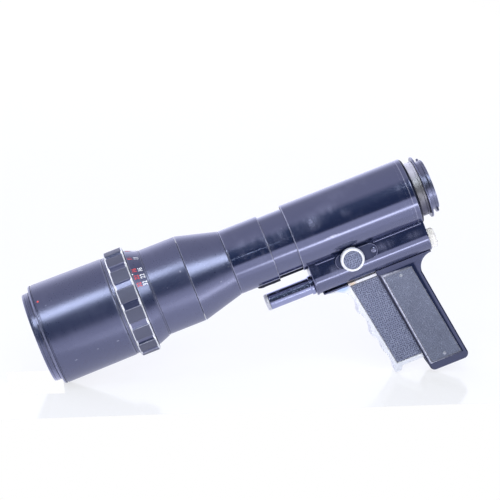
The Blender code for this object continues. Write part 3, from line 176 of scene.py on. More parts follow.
def paint(name, slot, roughness, haze, grain, scratch_share, smudges=(), nicks_and_highlights=(), ior=2.65, base=PAINT):
    """Black enamel with a blue cast: cloudy handling marks, hairline scratches, bare metal on worn edges and
    at nick marks; a patch passed in with the nick marks can be a painted highlight.
    """
    look = Look(name, slot, base, roughness, IOR=ior, Specular_Tint=SHEEN)
    cloud = look.noise(34, 4.0)
    wipe = look.noise(5, 4.0, (1, 0.3, 0.3), (0, 10, 0))
    streak = look.span(look.noise(3.4, 5.0, (1, 0.2, 0.2), (0, 12, 0)), 0.36, 0.66, 0.30, 1.1)
    smear = look.times(look.span(cloud, 0.50, 0.78), look.span(wipe, 0.42, 0.70))
    for centre, size, amount in smudges:
        patch = look.span(look.spot(centre, size), 0.0, 0.9, 0.0, amount)
        smear = look.most(smear, look.times(patch, streak))
    scratch = look.hairs(7.0, 0.030, scratch_share, (0.07, 1, 1), (20, 15, 62))
    fine = look.hairs(4.0, 0.030, scratch_share, (1, 0.06, 0.5), (35, 5, 20))
    marks = look.most(scratch, fine)
    dust = look.span(look.cells(6.5), 0.034, 0.018)
    edge = look.times(look.attribute("edge"), look.span(look.noise(2.2, 4.0), 0.30, 0.55, 0.35, 1.0))
    bare_and_lit = look.span(wipe, 0.40, 0.60, 0.10, 0.42)
    # Each of these patches mixes in bare metal; one of the gloss paint's is a painted highlight, not a nick.
    for centre, size, turn in nicks_and_highlights:
        nick = look.span(look.spot(centre, size, turn), 0.15, 0.40)
        edge = look.most(edge, look.times(nick, bare_and_lit))
    colour = look.mix(look.times(smear, haze), base, HAZE)
    colour = look.mix(look.times(dust, 0.25), colour, DUST)
    colour = look.mix(look.times(marks, 0.45), colour, SCRATCH)
    look.set("Base Color", look.mix(edge, colour, BARE))
    dull = look.span(smear, 0.0, 1.0, roughness, roughness + 0.16 * haze)
    look.set("Roughness", look.maths("ADD", dull, look.span(look.noise(1.2), 0.3, 0.7, -0.02, 0.02)))
    look.bump(look.noise(0.55, 2.0), grain)
    look.bump(marks, -0.0008)
    return look


def metal(name, slot, colour, roughness, grain, lathe_marks, metallic=1.0, stain=0.75, nicked=0.35,
          tints_and_painted_light=()):
    """Bare or plated metal: faint turning marks, clouded roughness, scattered nick marks, and spots of tint,
    some of which are painted light and shade.
    """
    look = Look(name, slot, colour, roughness, Metallic=metallic)
    cloud = look.noise(9.0, 4.0)
    lines = look.noise(0.35, 2.0, (1, 0.02, 0.02))
    nick = look.hairs(7.0, 0.008, 0.42, (1, 0.5, 0.5), (30, 40, 0))
    dark = tinted(colour, stain)
    tone = look.mix(look.span(cloud, 0.35, 0.75), colour, dark)
    # Each spot mixes a tint in; on the mount sleeve and the trigger's spur these spots are painted light and
    # shade.
    for centre, size, tint in tints_and_painted_light:
        tone = look.mix(look.span(look.spot(centre, size), 0.0, 0.7), tone, tint)
    look.set("Base Color", look.mix(look.times(nick, nicked), tone, dark))
    rough = look.span(cloud, 0.3, 0.7, roughness * 0.85, roughness * 1.25)
    look.set("Roughness", look.maths("ADD", rough, look.times(nick, 0.34 * nicked)))
    look.bump(lines, lathe_marks)
    look.bump(look.noise(0.6, 3.0), grain)
    return look


def hide_look(name, colour, hollow_shade, roughness):
    """Grained leather: painted shade darkens the modelled pebbles' hollows, and a painted highlight lightens
    their tops.
    """
    look = Look(name, "leather", colour, roughness, IOR=1.6, Specular_Tint=SHEEN, Sheen_Weight=0.25,
                Sheen_Roughness=0.4, Sheen_Tint=(0.75, 0.78, 1.0, 1.0))
    grain = look.attribute("grain")
    tone = look.span(look.noise(14, 4.0), 0.3, 0.75)
    body = look.mix(tone, colour, tinted(colour, 1.25))
    # Painted highlight on the pebbles' tops.
    lit_tops = look.times(look.span(grain, 0.72, 1.0), look.span(look.noise(2.2, 3.0), 0.45, 0.75))
    body = look.mix(look.times(lit_tops, 0.4), body, (0.36, 0.38, 0.46))
    # Painted shade in the pebbles' hollows.
    body = look.mix(look.span(grain, 0.05, 0.75), hollow_shade, body)
    look.set("Base Color", look.mix(look.times(look.attribute("edge"), 0.6), body, (0.27, 0.26, 0.25)))
    look.set("Roughness", look.span(grain, 0.0, 1.0, roughness + 0.2, roughness - 0.08))
    look.bump(look.noise(0.35, 3.0), 0.03)
    look.bump(look.cells(0.7, "DISTANCE_TO_EDGE"), 0.03)
    return look


def plain(name, slot, colour, roughness, grain=0.02, **values):
    """A matt or moulded surface with a fine tooth and slight changes of tone."""
    look = Look(name, slot, colour, roughness, **values)
    tone = look.span(look.noise(6.0, 4.0), 0.3, 0.75)
    edge = look.times(look.attribute("edge"), look.span(look.noise(2.4, 4.0), 0.48, 0.7, 0.0, 0.5))
    look.set("Base Color", look.mix(edge, look.mix(tone, colour, tinted(colour, 1.6)), (0.32, 0.33, 0.38)))
    look.set("Roughness", look.span(look.noise(1.5, 3.0), 0.3, 0.7, roughness - 0.06, roughness + 0.08))
    look.bump(look.noise(0.5, 3.0), grain)
    return look


def coated_glass():
    """Clear glass with a thin anti-reflection coating and a little dust."""
    look = Look("coated_glass", "glass", (0.93, 0.96, 1.0), 0.02, IOR=1.52, Transmission_Weight=1.0,
                Thin_Film_Thickness=118.0, Thin_Film_IOR=1.38)
    dust = look.span(look.cells(3.2), 0.05, 0.02)
    look.set("Roughness", look.maths("ADD", look.span(look.noise(12, 4.0), 0.35, 0.75, 0.0, 0.03), dust))
    return look


def round_barrel(x, angle_deg, radius):
    """A place on a turned surface: station, angle from the top, radius."""
    angle = radians(angle_deg)
    return x, -radius * sin(angle), radius * cos(angle)


def chip(x, angle_deg, radius, length, width, skew_deg=0.0):
    """A pale bare patch in the paint, long along X by length, skewed round the barrel: mostly a nick, and
    once a painted highlight.
    """
    return round_barrel(x, angle_deg, radius), (length, width, width), (angle_deg, 0, skew_deg)


smudges = [
    ((-108, -27, 15), (17, 11, 11), 1.0), ((-90, -24, 20), (13, 9, 9), 0.8),
    ((-78, -17, 26), (14, 9, 9), 0.5), ((-137, -25, 13), (9, 10, 10), 0.9),
    ((-166, -25, 17), (16, 9, 9), 0.7),
    ((-101, -20.4, -38), (12, 4, 7), 1.0), ((-93, -19.5, -33), (8, 4, 6), 0.9),
    ((-54, -19.5, -33), (13, 4, 6), 1.0), ((-24, -19.5, -34), (12, 4, 5), 0.7),
]
hood_chips = [
    chip(-304.5, 113, 46.1, 1.6, 0.7), chip(-323.5, 113, 46.2, 1.2, 0.7), chip(-345.1, 116, 46.5, 1.8, 0.8),
    chip(-352, 44, 46.5, 2.2, 0.5, 25), chip(-346, 41, 46.5, 1.8, 0.4, -20),
]
barrel_chips = [
    chip(-231, 63, 40.25, 0.8, 1.3), chip(-200.5, 98, 33.9, 1.2, 0.8), chip(-190, 81, 31.4, 2.6, 0.8, 50),
]
# Bare nick marks in the gloss paint; the long pale patch at -94 is a painted highlight on the housing tube,
# not a nick.
tube_chips_and_highlight = [
    chip(-185.5, 62, 30.15, 0.7, 3.0), chip(-133.5, 52, 28.35, 1.6, 0.5, 60), chip(-94, 98, 31.25, 9.0, 1.4),
]
# Tints on the trigger's silver: a warm tint by the top of the spur, and a blue patch on the spur's side that
# paints its shade.
trigger_tint_and_painted_shade = [
    ((-91.5, -9.5, -58.2), (6, 4, 3), (0.78, 0.62, 0.46)),
    ((-100, -9.5, -59.5), (9, 5, 4), (0.50, 0.62, 0.92)),
]
# Painted light and shade on the mount sleeve: a dark patch paints shade on its underside, and a pale patch
# paints light on its top.
mount_painted_light = [
    ((-5.5, -17, -19), (12, 22, 22), (0.095, 0.094, 0.130)),
    ((-6.0, -12, 24), (14, 18, 18), (0.72, 0.72, 0.78)),
]
hood_paint = paint("hood_enamel", "black_paint", 0.29, 0.35, 0.0006, 0.24, (), hood_chips, 2.45)
satin = paint("satin_enamel", "black_paint", 0.29, 0.35, 0.0006, 0.24, (), barrel_chips)
gloss = paint("gloss_enamel", "black_paint", 0.12, 1.0, 0.001, 0.27, smudges, tube_chips_and_highlight)
lacquer = paint("plate_lacquer", "black_paint", 0.13, 0.5, 0.003, 0.28, ior=1.6)
anodised = paint("black_anodising", "black_anodised", 0.30, 0.35, 0.006, 0.26)
land_grey = paint("matt_anodising", "black_anodised", 0.55, 0.30, 0.030, 0.24, ior=2.0,
                  base=(0.055, 0.058, 0.078))
plastic = paint("moulded_plastic", "grip_plastic", 0.15, 0.5, 0.003, 0.28, ior=2.0)
rail_black = plain("rail_black", "black_anodised", (0.007, 0.009, 0.020), 0.5, IOR=1.4)
inner_black = plain("matt_inner_black", "inner_black", (0.006, 0.006, 0.008), 0.8, 0.05)
alloy = metal("satin_alloy", "chrome", (0.90, 0.90, 0.92), 0.36, 0.003, 0.003, 0.30, 0.93)
silver = metal("cast_silver", "cast_silver", (0.84, 0.84, 0.87), 0.40, 0.015, 0.0, 0.25, 0.93,
               tints_and_painted_light=trigger_tint_and_painted_shade)
turned_silver = metal("turned_silver", "cast_silver", (0.27, 0.265, 0.275), 0.30, 0.004, 0.012, 0.7, 0.45,
                      tints_and_painted_light=mount_painted_light)
pale_cap = metal("turned_cap", "cast_silver", (0.66, 0.66, 0.70), 0.40, 0.004, 0.010, 0.5, 0.8)
dark_steel = metal("black_chrome", "dark_steel", (0.34, 0.36, 0.52), 0.22, 0.001, 0.001, stain=0.92,
                   nicked=0.05)
satin_steel = metal("satin_dark_steel", "dark_steel", (0.20, 0.21, 0.30), 0.27, 0.003, 0.004, 0.9)
steel = metal("ground_steel", "steel", (0.46, 0.47, 0.52), 0.36, 0.01, 0.006, 0.6)
warm_alloy = metal("warm_alloy", "chrome", (0.93, 0.90, 0.84), 0.36, 0.003, 0.003, 0.2, 0.95)
brass = metal("worn_brass", "brass", (0.70, 0.53, 0.26), 0.36, 0.01, 0.01)
# The second colour given to each leather is the painted shade in its pebbles' hollows.
leather = hide_look("pebbled_leather", (0.165, 0.178, 0.245), (0.026, 0.030, 0.062), 0.50)
knob_hide = hide_look("knob_leather", (0.155, 0.170, 0.240), (0.008, 0.010, 0.026), 0.50)
panel_hide = hide_look("grained_panel", (0.130, 0.142, 0.184), (0.042, 0.047, 0.074), 0.46)
glass = coated_glass()
red_ink = plain("red_filling", "black_paint", (0.62, 0.07, 0.07), 0.5)
white_ink = plain("white_filling", "black_paint", (0.85, 0.85, 0.87), 0.5)


# Shapes
GUARD = 0.5             # flat kept beside a rounded corner, so that its shading stays on the corner
CORNER_WEAR = 0.10
SHARP_DEG = 40.0
BEVEL_DEG = 38.0


def fillet(outline, soft):
    """Round each corner of a closed outline.

    A point is (a, b), then if needed its own softness and how far its edge is worn to bare metal.
    Each point comes back as (a, b, edge), where edge is the wear on an outward corner.
    """
    count = len(outline)
    area = sum(outline[i - 1][0] * outline[i][1] - outline[i][0] * outline[i - 1][1] for i in range(count))
    rounded = []
    for i, point in enumerate(outline):
        corner = Vector(point[:2])
        before = Vector(outline[i - 1][:2]) - corner
        after = Vector(outline[(i + 1) % count][:2]) - corner
        size = point[2] if len(point) > 2 else soft
        size = min(size, 0.4 * before.length, 0.4 * after.length)
        if size < 0.02:
            rounded.append((corner.x, corner.y, 0.0))
            continue
        outward = (before.y * after.x - before.x * after.y) * area > 0
        wear = (point[3] if len(point) > 3 else CORNER_WEAR) if outward else 0.0
        start = corner + before.normalized() * size
        end = corner + after.normalized() * size
        curve = []
        for t in (0, 1 / 3, 2 / 3, 1):
            curve.append((*(start * (1 - t) ** 2 + corner * (2 * t * (1 - t)) + end * t ** 2), wear))
        leads = []
        for edge in (before, after):
            lead = corner + edge.normalized() * (size + GUARD)
            leads.append([(*lead, 0.0)] if edge.length > 2.2 * (size + GUARD) else [])
        rounded += leads[0] + curve + leads[1]
    return rounded


def add_object(name, data):
    obj = bpy.data.objects.new(name, data)
    scene.collection.objects.link(obj)
    return obj


def settle(name, mesh, look, body, nodes=()):
    """Make a finished mesh a piece that rides on a body and stands for CAD nodes."""
    mesh.shade_smooth()
    mesh.set_sharp_from_angle(angle=radians(SHARP_DEG))
    obj = add_object(name, mesh)
    mesh.materials.clear()
    mesh.materials.append(look.material)
    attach(obj, body)
    if nodes:
        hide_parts(*nodes)
    return obj


def to_mesh(bm, name):
    bmesh.ops.recalc_face_normals(bm, faces=bm.faces)
    mesh = bpy.data.meshes.new(name)
    bm.to_mesh(mesh)
    bm.free()
    return mesh


def to_piece(bm, name, look, body, nodes=(), soft=0.0):
    obj = settle(name, to_mesh(bm, name), look, body, nodes)
    if soft:
        bevel = obj.modifiers.new("rounded", "BEVEL")
        bevel.width = soft * MM
        bevel.segments = 3
        bevel.limit_method = "ANGLE"
        bevel.angle_limit = radians(BEVEL_DEG)
        bevel.use_clamp_overlap = True
    weighted = obj.modifiers.new("even_shading", "WEIGHTED_NORMAL")
    weighted.keep_sharp = True
    return obj


def fresh(*layers):
    """An empty mesh and its vertex attributes: edge is wear, grain is the height of leather."""
    bm = bmesh.new()
    return bm, *[bm.verts.layers.float.new(layer) for layer in layers]


def skin(bm, loops):
    """Faces between each closed loop of vertices and the next; a loop of one vertex is a pole."""
    for first, second in zip(loops, loops[1:]):
        count = max(len(first), len(second))
        for k in range(count if count > 1 else 0):
            near, far = [(loop[(k - 1) % len(loop)], loop[k % len(loop)]) for loop in (first, second)]
            bm.faces.new(list(dict.fromkeys((*near, *reversed(far)))))


def spun(outline, steps=160, axis="X", centre=(0, 0, 0), soft=0.25, reshape=None):
    """A closed outline of (along, radius) points spun about an axis through centre."""
    along, out, side = AXES[axis]
    origin = Vector(centre)
    bm, worn = fresh("edge")
    rings = []
    for a, radius, edge in fillet(outline, soft):
        ring = []
        for k in range(steps if radius > 1e-6 else 1):
            angle = tau * k / steps
            at, r = reshape(a, radius, angle) if reshape else (a, radius)
            ray = out * cos(angle) + side * sin(angle)
            vert = bm.verts.new((origin + along * at + ray * r) * MM)
            vert[worn] = edge
            ring.append(vert)
        rings.append(ring)
    skin(bm, [rings[-1], *rings])
    return bm


def turned(name, outline, look, body, nodes=(), **shape):
    return to_piece(spun(outline, **shape), name, look, body, nodes)


def two_tone(obj, look, chosen):
    """Give another finish to the faces whose centre and normal are chosen."""
    obj.data.materials.append(look.material)
    for face in obj.data.polygons:
        if chosen(face.center / MM, face.normal):
            face.material_index = len(obj.data.materials) - 1


def off_axis(at):
    return hypot(at.y, at.z)


def lofted(rings):
    """Skin a row of closed loops with the same number of points, and close both ends."""
    bm, _ = fresh("edge")
    loops = [[bm.verts.new(Vector(p) * MM) for p in ring] for ring in rings]
    bm.faces.new(loops[0])
    bm.faces.new(loops[-1])
    skin(bm, loops)
    return bm


def prism(outline, axis, start, end, at=(0, 0, 0)):
    u, v, along = PLANES[axis]
    flat = [Vector(at) + u * p[0] + v * p[1] for p in outline]
    return lofted([[p + along * station for p in flat] for station in (start, end)])


def box(low, high, at=(0, 0, 0)):
    return prism(rectangle(low, high), "Z", low[2], high[2], at)


def rectangle(low, high):
    return [(low[0], low[1]), (high[0], low[1]), (high[0], high[1]), (low[0], high[1])]


def evaluated(obj):
    """An object's mesh with its modifiers applied; the object goes."""
    depsgraph = bpy.context.evaluated_depsgraph_get()
    mesh = bpy.data.meshes.new_from_object(obj.evaluated_get(depsgraph))
    bpy.data.objects.remove(obj, do_unlink=True)
    return mesh


def combine(base, *steps):
    """Cut from or join to a closed shape; the steps come from cut, join or bore."""
    whole = add_object("shape", to_mesh(base, "shape"))
    tools = [add_object("shape", to_mesh(tool, "shape")) for _, tool in steps]
    for (operation, _), tool in zip(steps, tools):
        boolean = whole.modifiers.new("shape", "BOOLEAN")
        boolean.operation = operation
        boolean.solver = "EXACT"
        boolean.object = tool
    result = bmesh.new()
    result.from_mesh(evaluated(whole))
    for tool in tools:
        bpy.data.objects.remove(tool, do_unlink=True)
    return result


def cut(tool):
    return "DIFFERENCE", tool


def join(tool):
    return "UNION", tool


def bore(start, end, radius, steps, axis, centre):
    """A plain round hole."""
    return cut(spun([(start, 0), (start, radius), (end, radius), (end, 0)], steps, axis, centre, 0.0))


def arc(centre, radius, start_deg, end_deg, count):
    angles = [radians(start_deg + (end_deg - start_deg) * i / count) for i in range(count + 1)]
    return [(centre[0] + radius * cos(a), centre[1] + radius * sin(a)) for a in angles]


def capsule(x0, x1, z, half):
    return arc((x1 - half, z), half, -90, 90, 12) + arc((x0 + half, z), half, 90, 270, 12)


def bow(start, end, depth, count):
    """Points along an arc from start to end that bulges to the left of its chord by depth."""
    chord = end - start
    half = chord.length / 2
    radius = (half * half + depth * depth) / (2 * depth)
    side = Vector((-chord.y, chord.x)).normalized()
    centre = (start + end) / 2 - side * (radius - depth)
    spread = asin(half / radius)
    forward = chord.normalized()
    angles = [spread * (2 * i / count - 1) for i in range(count)]
    return [centre + side * (radius * cos(a)) + forward * (radius * sin(a)) for a in angles]


def reach(node):
    """First and last station of a CAD node, and its radius if it is turned."""
    low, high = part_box(node)
    return low.x / MM, high.x / MM, (high.z - low.z) / 2 / MM


def corners(node):
    """Low and high corner of a CAD node's box."""
    return [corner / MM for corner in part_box(node)]


def aimed(bm, centre, direction, spin_deg=0.0):
    """Spin a shape about Z, turn its Z to a direction and set it down at centre."""
    spin = Matrix.Rotation(radians(spin_deg), 4, "Z")
    aim = direction.to_track_quat("Z", "Y").to_matrix().to_4x4()
    bmesh.ops.transform(bm, matrix=Matrix.Translation(Vector(centre) * MM) @ aim @ spin, verts=bm.verts)
    return bm


def slotted(name, centre, axis, side, radius, rise, body, node, angle_deg, look):
    """Screw with a domed, slotted head that faces side along its axis."""
    dome = [(0.0, 0.0), (0.0, radius), (side * rise * 0.55, radius), (side * rise, radius * 0.62),
            (side * rise * 1.08, 0.0)]
    head = spun(dome, 40, axis, centre, 0.12)
    low = (-radius * 1.2, -radius * 0.13, rise * 0.45)
    high = (radius * 1.2, radius * 0.13, rise * 2.0)
    slot = aimed(box(low, high), centre, AXES[axis][0] * side, angle_deg)
    to_piece(combine(head, cut(slot)), name, look, body, [node])


# Front group: bezel, coated doublet, retainer, hood
FRONT_CURVE = 190.0
JOINT_CURVE = 160.0
BACK_CURVE = 600.0
CEMENT_GAP = 0.3
THREADS = 5


def front_group():
    x0, x1, r = reach("front_bezel")
    bore_r = r - 4.2
    outline = [(x1, bore_r), (x1, r), (x0 + 2.9, r), (x0 + 2.9, r - 0.7), (x0 + 2.2, r - 0.7),
               (x0 + 2.2, r - 0.1), (x0, r - 0.5, 0.6), (x0, bore_r + 1.0)]
    for i in range(THREADS):
        outline += [(x0 + 1.0 + 0.9 * i, bore_r + 0.1), (x0 + 1.45 + 0.9 * i, bore_r + 0.6)]
    turned("bezel_threaded", outline, hood_paint, "focus_carriage", ["front_bezel"], soft=0.2)

    pole, _, rim = reach("objective_front")
    _, back, _ = reach("objective_rear")
    radii = [rim * sin(pi / 2 * i / 14) for i in range(15)]

    def sag(radius, curve):
        return curve - sqrt(curve * curve - radius * radius)

    def element(name, node, front, front_curve, front_side, rear, rear_curve):
        outline = [(front + front_side * sag(r, front_curve), r) for r in radii]
        outline += [(rear - sag(r, rear_curve), r) for r in reversed(radii)]
        turned(name, outline, glass, "focus_carriage", [node], soft=0.0)

    joint = back - sag(rim, BACK_CURVE) - 5.0 + sag(rim, JOINT_CURVE)
    element("crown_element", "objective_front", pole, FRONT_CURVE, 1, joint - CEMENT_GAP, JOINT_CURVE)
    element("flint_element", "objective_rear", joint, JOINT_CURVE, -1, back, BACK_CURVE)

    x0, x1, r = reach("objective_retainer")
    step = (x1 - x0) / 3
    ring = [(x0, r - 1.2), (x0, r), (x1, r), (x1, r - 2.0), (x1 - step, r - 2.0), (x1 - step, r - 1.6),
            (x1 - 2 * step, r - 1.6), (x1 - 2 * step, r - 1.2)]
    turned("retainer_stepped", ring, inner_black, "focus_carriage", ["objective_retainer"], soft=0.1)

    x0, x1, r = reach("hood")
    rear = r - 0.8
    run = r - 4.7
    wall = r - 2.6
    hood = turned("hood_shell", [
        (x0, run), (x0, r - 0.9, 0.7), (x0 + 0.9, r, 0.5), (x0 + 2.2, r, 0.2, 0.0), (x0 + 2.2, r - 0.8),
        (x0 + 3.5, r - 0.8), (x0 + 3.5, r - 0.05, 0.2, 0.0), (x1 - 1.0, rear, 0.4),
        (x1, rear - 0.5, 0.4, 0.2), (x1, run),
        (x1 - 6.0, run), (x1 - 6.0, wall), (x0 + 2.2, wall), (x0 + 2.2, run),
    ], hood_paint, "hood", ["hood"], soft=0.25, steps=200)
    two_tone(hood, inner_black, lambda at, _: off_axis(at) < rear - 1.0 and at.x > x0 + 1)
    # Painted shade: the groove behind the hood's front lip is coloured black.
    two_tone(hood, rail_black, lambda at, _: x0 + 2.1 < at.x < x0 + 3.7 and rear < off_axis(at) < r - 0.25)

    centre = Vector(round_barrel(x0 + 6.0, 35.4, r))
    dome = spun([(-0.5, 0.0), (-0.5, 1.0), (0.12, 1.0), (0.24, 0.6), (0.26, 0.0)], 32, "Z", soft=0.1)
    to_piece(aimed(dome, centre, Vector((0, centre.y, centre.z))), "hood_red_dot", red_ink, "hood")


# Rings round the iris: grooved stop ring, fluted aperture ring, numbered scale ring
FLUTES = 16
FLUTE_PITCH_DEG = 360.0 / FLUTES
FLUTE_HALF_DEG = 4.0
FLUTE_DEPTH = 1.7
FLUTE_FLOOR = 46.0      # flutes and their wear are outside this radius
HEAD_R = 40.25
FIGURE_WIDTH = 0.8
FIGURE_HEIGHT = 5.8
MARKS = (("4", -55.0), ("5.6", -31.0), ("8", -4.0), ("11", 20.8), ("16", 41.2), ("22", 51.2), ("32", 60.8))


def angle_of(at):
    return atan2(-at.y, at.z)


def scallop(angle):
    """How far into a finger flute an angle is, from 0 on a land to 1 on its flat bottom."""
    offset = (degrees(angle) % FLUTE_PITCH_DEG) - FLUTE_PITCH_DEG / 2
    return min(1.0, max(0.0, 2.2 * (1 - (offset / FLUTE_HALF_DEG) ** 2)))


def ring_group():
    x0, x1, r = reach("hood_stop_ring")
    band = (x1 - x0) / 3
    outline = [(x1, r - 6.7), (x0, r - 6.7)]
    for i in range(3):
        radius = r - 0.8 * (i % 2)
        outline += [(x0 + band * i, radius, 0.14, 0.15), (x0 + band * (i + 1), radius, 0.14, 0.15)]
    turned("stop_ring_grooved", outline, anodised, "focus_carriage", ["hood_stop_ring"], soft=0.14)

    front, back, r = reach("aperture_ring")
    lip, flare = 1.0, 0.7

    def flute(along, radius, angle):
        depth = scallop(angle) if radius > FLUTE_FLOOR else 0.0
        if front + 0.5 < along < front + 2.0:
            along += flare * depth
        if back - 2.0 < along < back - 0.5:
            along -= flare * depth
        return along, radius - FLUTE_DEPTH * depth

    def bright(at, _):
        margin = lip + 0.1 + flare * scallop(angle_of(at))
        return off_axis(at) > 44.5 and not front + margin < at.x < back - margin

    ring = turned("aperture_ring_fluted", [
        (front, 39.0), (front, r - 1.3), (front + lip, r, 0.12), (back - lip, r, 0.12), (back, r - 1.3),
        (back, 39.0),
    ], land_grey, "aperture", ["aperture_ring"], soft=0.2, steps=FLUTES * 40, reshape=flute)
    # Worn flute edges; the heavier wear on the edge of each flute that lies lower on the camera side is
    # partly a painted highlight, the bright line of light along that edge.
    for vert, wear in zip(ring.data.vertices, ring.data.attributes["edge"].data):
        angle = angle_of(vert.co)
        if off_axis(vert.co) > FLUTE_FLOOR * MM and 0.0 < scallop(angle) < 0.5:
            below = degrees(angle) % FLUTE_PITCH_DEG > FLUTE_PITCH_DEG / 2
            wear.value = 0.55 if below else 0.15
    two_tone(ring, anodised, lambda at, _: scallop(angle_of(at)) > 0.05)
    two_tone(ring, alloy, bright)

    x0, x1, r = reach("scale_ring")
    rear = 40.6
    turned("scale_ring_bevelled", [
        (x0, 38.9), (x0, r, 0.3), (x0 + 0.8, r - 0.1, 0.2), (x1 - 1.6, rear + 0.35), (x1 - 1.6, rear - 0.5),
        (x1 - 1.0, rear - 0.5), (x1 - 1.0, rear), (x1, rear), (x1, 38.9),
    ], satin, "focus_carriage", ["scale_ring"], soft=0.2)

    def surface(x):
        return r - 0.1 + (rear + 0.35 - r) * (x - x0 - 0.8) / (x1 - 2.4 - x0)

    for text, angle in MARKS:
        numeral(f"scale_red_{text}", text, x0 + 3.5, angle, FIGURE_HEIGHT, surface, red_ink)
        numeral(f"scale_white_{text}", text, x0 + 8.7, angle, FIGURE_HEIGHT, surface, white_ink)
    numeral("scale_index_dot", ".", x0 + 0.9, 46.8, 8.0, surface, white_ink)

    front = x1 + 0.3
    x0, x1, _ = reach("head_barrel")
    turned("head_shell", [
        (x0, 37.4), (x0, 38.6), (front, 38.6), (front, HEAD_R), (x1 - 0.4, HEAD_R, 0.2, 0.1),
        (x1, 39.9, 0.2, 0.1), (x1, 34.5), (front + 7.4, 34.5), (front + 7.4, 37.4),
    ], satin, "focus_carriage", ["head_barrel"], soft=0.25)


def numeral(name, text, station, angle_deg, height, surface, look):
    """A plain figure let into a turned surface, upright for someone behind the lens."""
    curve = bpy.data.curves.new(name, "FONT")
    curve.body = text
    curve.align_x = "CENTER"
    curve.align_y = "CENTER"
    curve.offset = 0.012
    mesh = evaluated(add_object(name, curve))
    glyph = bmesh.new()
    glyph.from_mesh(mesh)
    bmesh.ops.remove_doubles(glyph, verts=glyph.verts, dist=0.002)
    bmesh.ops.dissolve_degenerate(glyph, edges=glyph.edges, dist=0.002)
    glyph.to_mesh(mesh)
    glyph.free()
    middle = Vector((0.0, 0.0))
    for axis in range(2):
        values = [vert.co[axis] for vert in mesh.vertices]
        middle[axis] = (min(values) + max(values)) / 2
    for vert in mesh.vertices:
        x = station - (vert.co.y - middle.y) * height
        radius = surface(x) + 0.04
        angle = radians(angle_deg) - (vert.co.x - middle.x) * FIGURE_WIDTH * height / radius
        vert.co = Vector((x, -radius * sin(angle), radius * cos(angle))) * MM
    obj = settle(name, mesh, look, "focus_carriage")
    thick = obj.modifiers.new("filling", "SOLIDIFY")
    thick.thickness = 0.12 * MM
    thick.offset = 0.0


# Cone, sleeve, focus tube and drive rail
def rail_plan(front, half, rear):
    return arc((front + RAIL_HALF, 0), half, 90, 270, 20) + [(rear, -half), (rear, half)]


def rear_barrel():
    x0, x1, _ = reach("cone_barrel")
    front, rear = x0 + 7.0, x1 - 37.2
    turned("cone_shell", [
        (x0, 31.2), (x0, 34.2), (front, 34.2), (front, 39.95, 0.15, 0.30), (front + 0.3, HEAD_R, 0.2, 0.22),
        (rear - 0.6, 30.3, 0.3, 0.1), (rear, 29.8), (rear, 26.4), (rear - 3.0, 26.4),
    ], satin, "focus_carriage", ["cone_barrel"], soft=0.3)

    rail_front, rail_rear, _ = reach("drive_rail")
    sleeve_end = x1
    sleeve = spun([(rear, 28.65), (rear, 29.7), (rear + 0.5, 30.15, 0.3, 0.2), (x1 - 0.5, 30.15, 0.3, 0.22),
                   (x1, 29.7, 0.2, 0.26), (x1, 28.65)], soft=0.2)
    slot = prism(rail_plan(rail_front, RAIL_HALF + 0.3, x1 + 2.0), "Z", -36.0, -27.0)
    to_piece(combine(sleeve, cut(slot)), "sleeve_glossy", gloss, "focus_carriage")

    x0, x1, r = reach("focus_tube")
    turned("focus_tube_smooth", [(x0, r - 2.0), (x0, r), (x1, r), (x1, r - 2.0)], gloss, "focus_carriage",
           ["focus_tube"], soft=0.3)

    low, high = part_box("drive_rail")
    bottom, top = low.z / MM + 1.4, high.z / MM
    rail = prism(rail_plan(rail_front, RAIL_HALF, rail_rear), "Z", bottom, top)
    centres = [rail_front + 5.0, rail_front + 15.0]
    cuts = [bore(bottom - 1, top + 1, 1.8, 32, "Z", (x, 0, 0)) for x in centres]
    cuts.append(cut(box((sleeve_end, -8.0, bottom - 1.0), (rail_rear + 1.0, 8.0, bottom + 2.0))))
    to_piece(combine(rail, *cuts), "drive_rail_rounded", rail_black, "focus_carriage", ["drive_rail"], 0.4)
    for i, x in enumerate(centres):
        slotted(f"rail_screw_slotted_{i + 1}", (x, 0, bottom - 0.3), "Z", -1, 2.6, 0.8, "focus_carriage",
                f"rail_screw_{i + 1}", 35 + 70 * i, steel)


# Housing tube and camera end
THROAT = 19.5
LUG_R = 26.0
LUG_ROOT = 23.0
LUG_PITCH_DEG = 120.0
LUG_SPAN_DEG = 62.0
LUG_LOW = 24.5          # what stands out further than this is lug
CHANNEL_END = -45.5


def lugs(along, radius, angle):
    """Leave three lugs of the bayonet's ring standing."""
    turn = degrees(atan2(cos(angle), -sin(angle))) % LUG_PITCH_DEG
    if along > 2.0 and radius > LUG_LOW and turn > LUG_SPAN_DEG:
        return along, LUG_ROOT + 0.2 + 0.1 * (radius - LUG_LOW)
    return along, radius


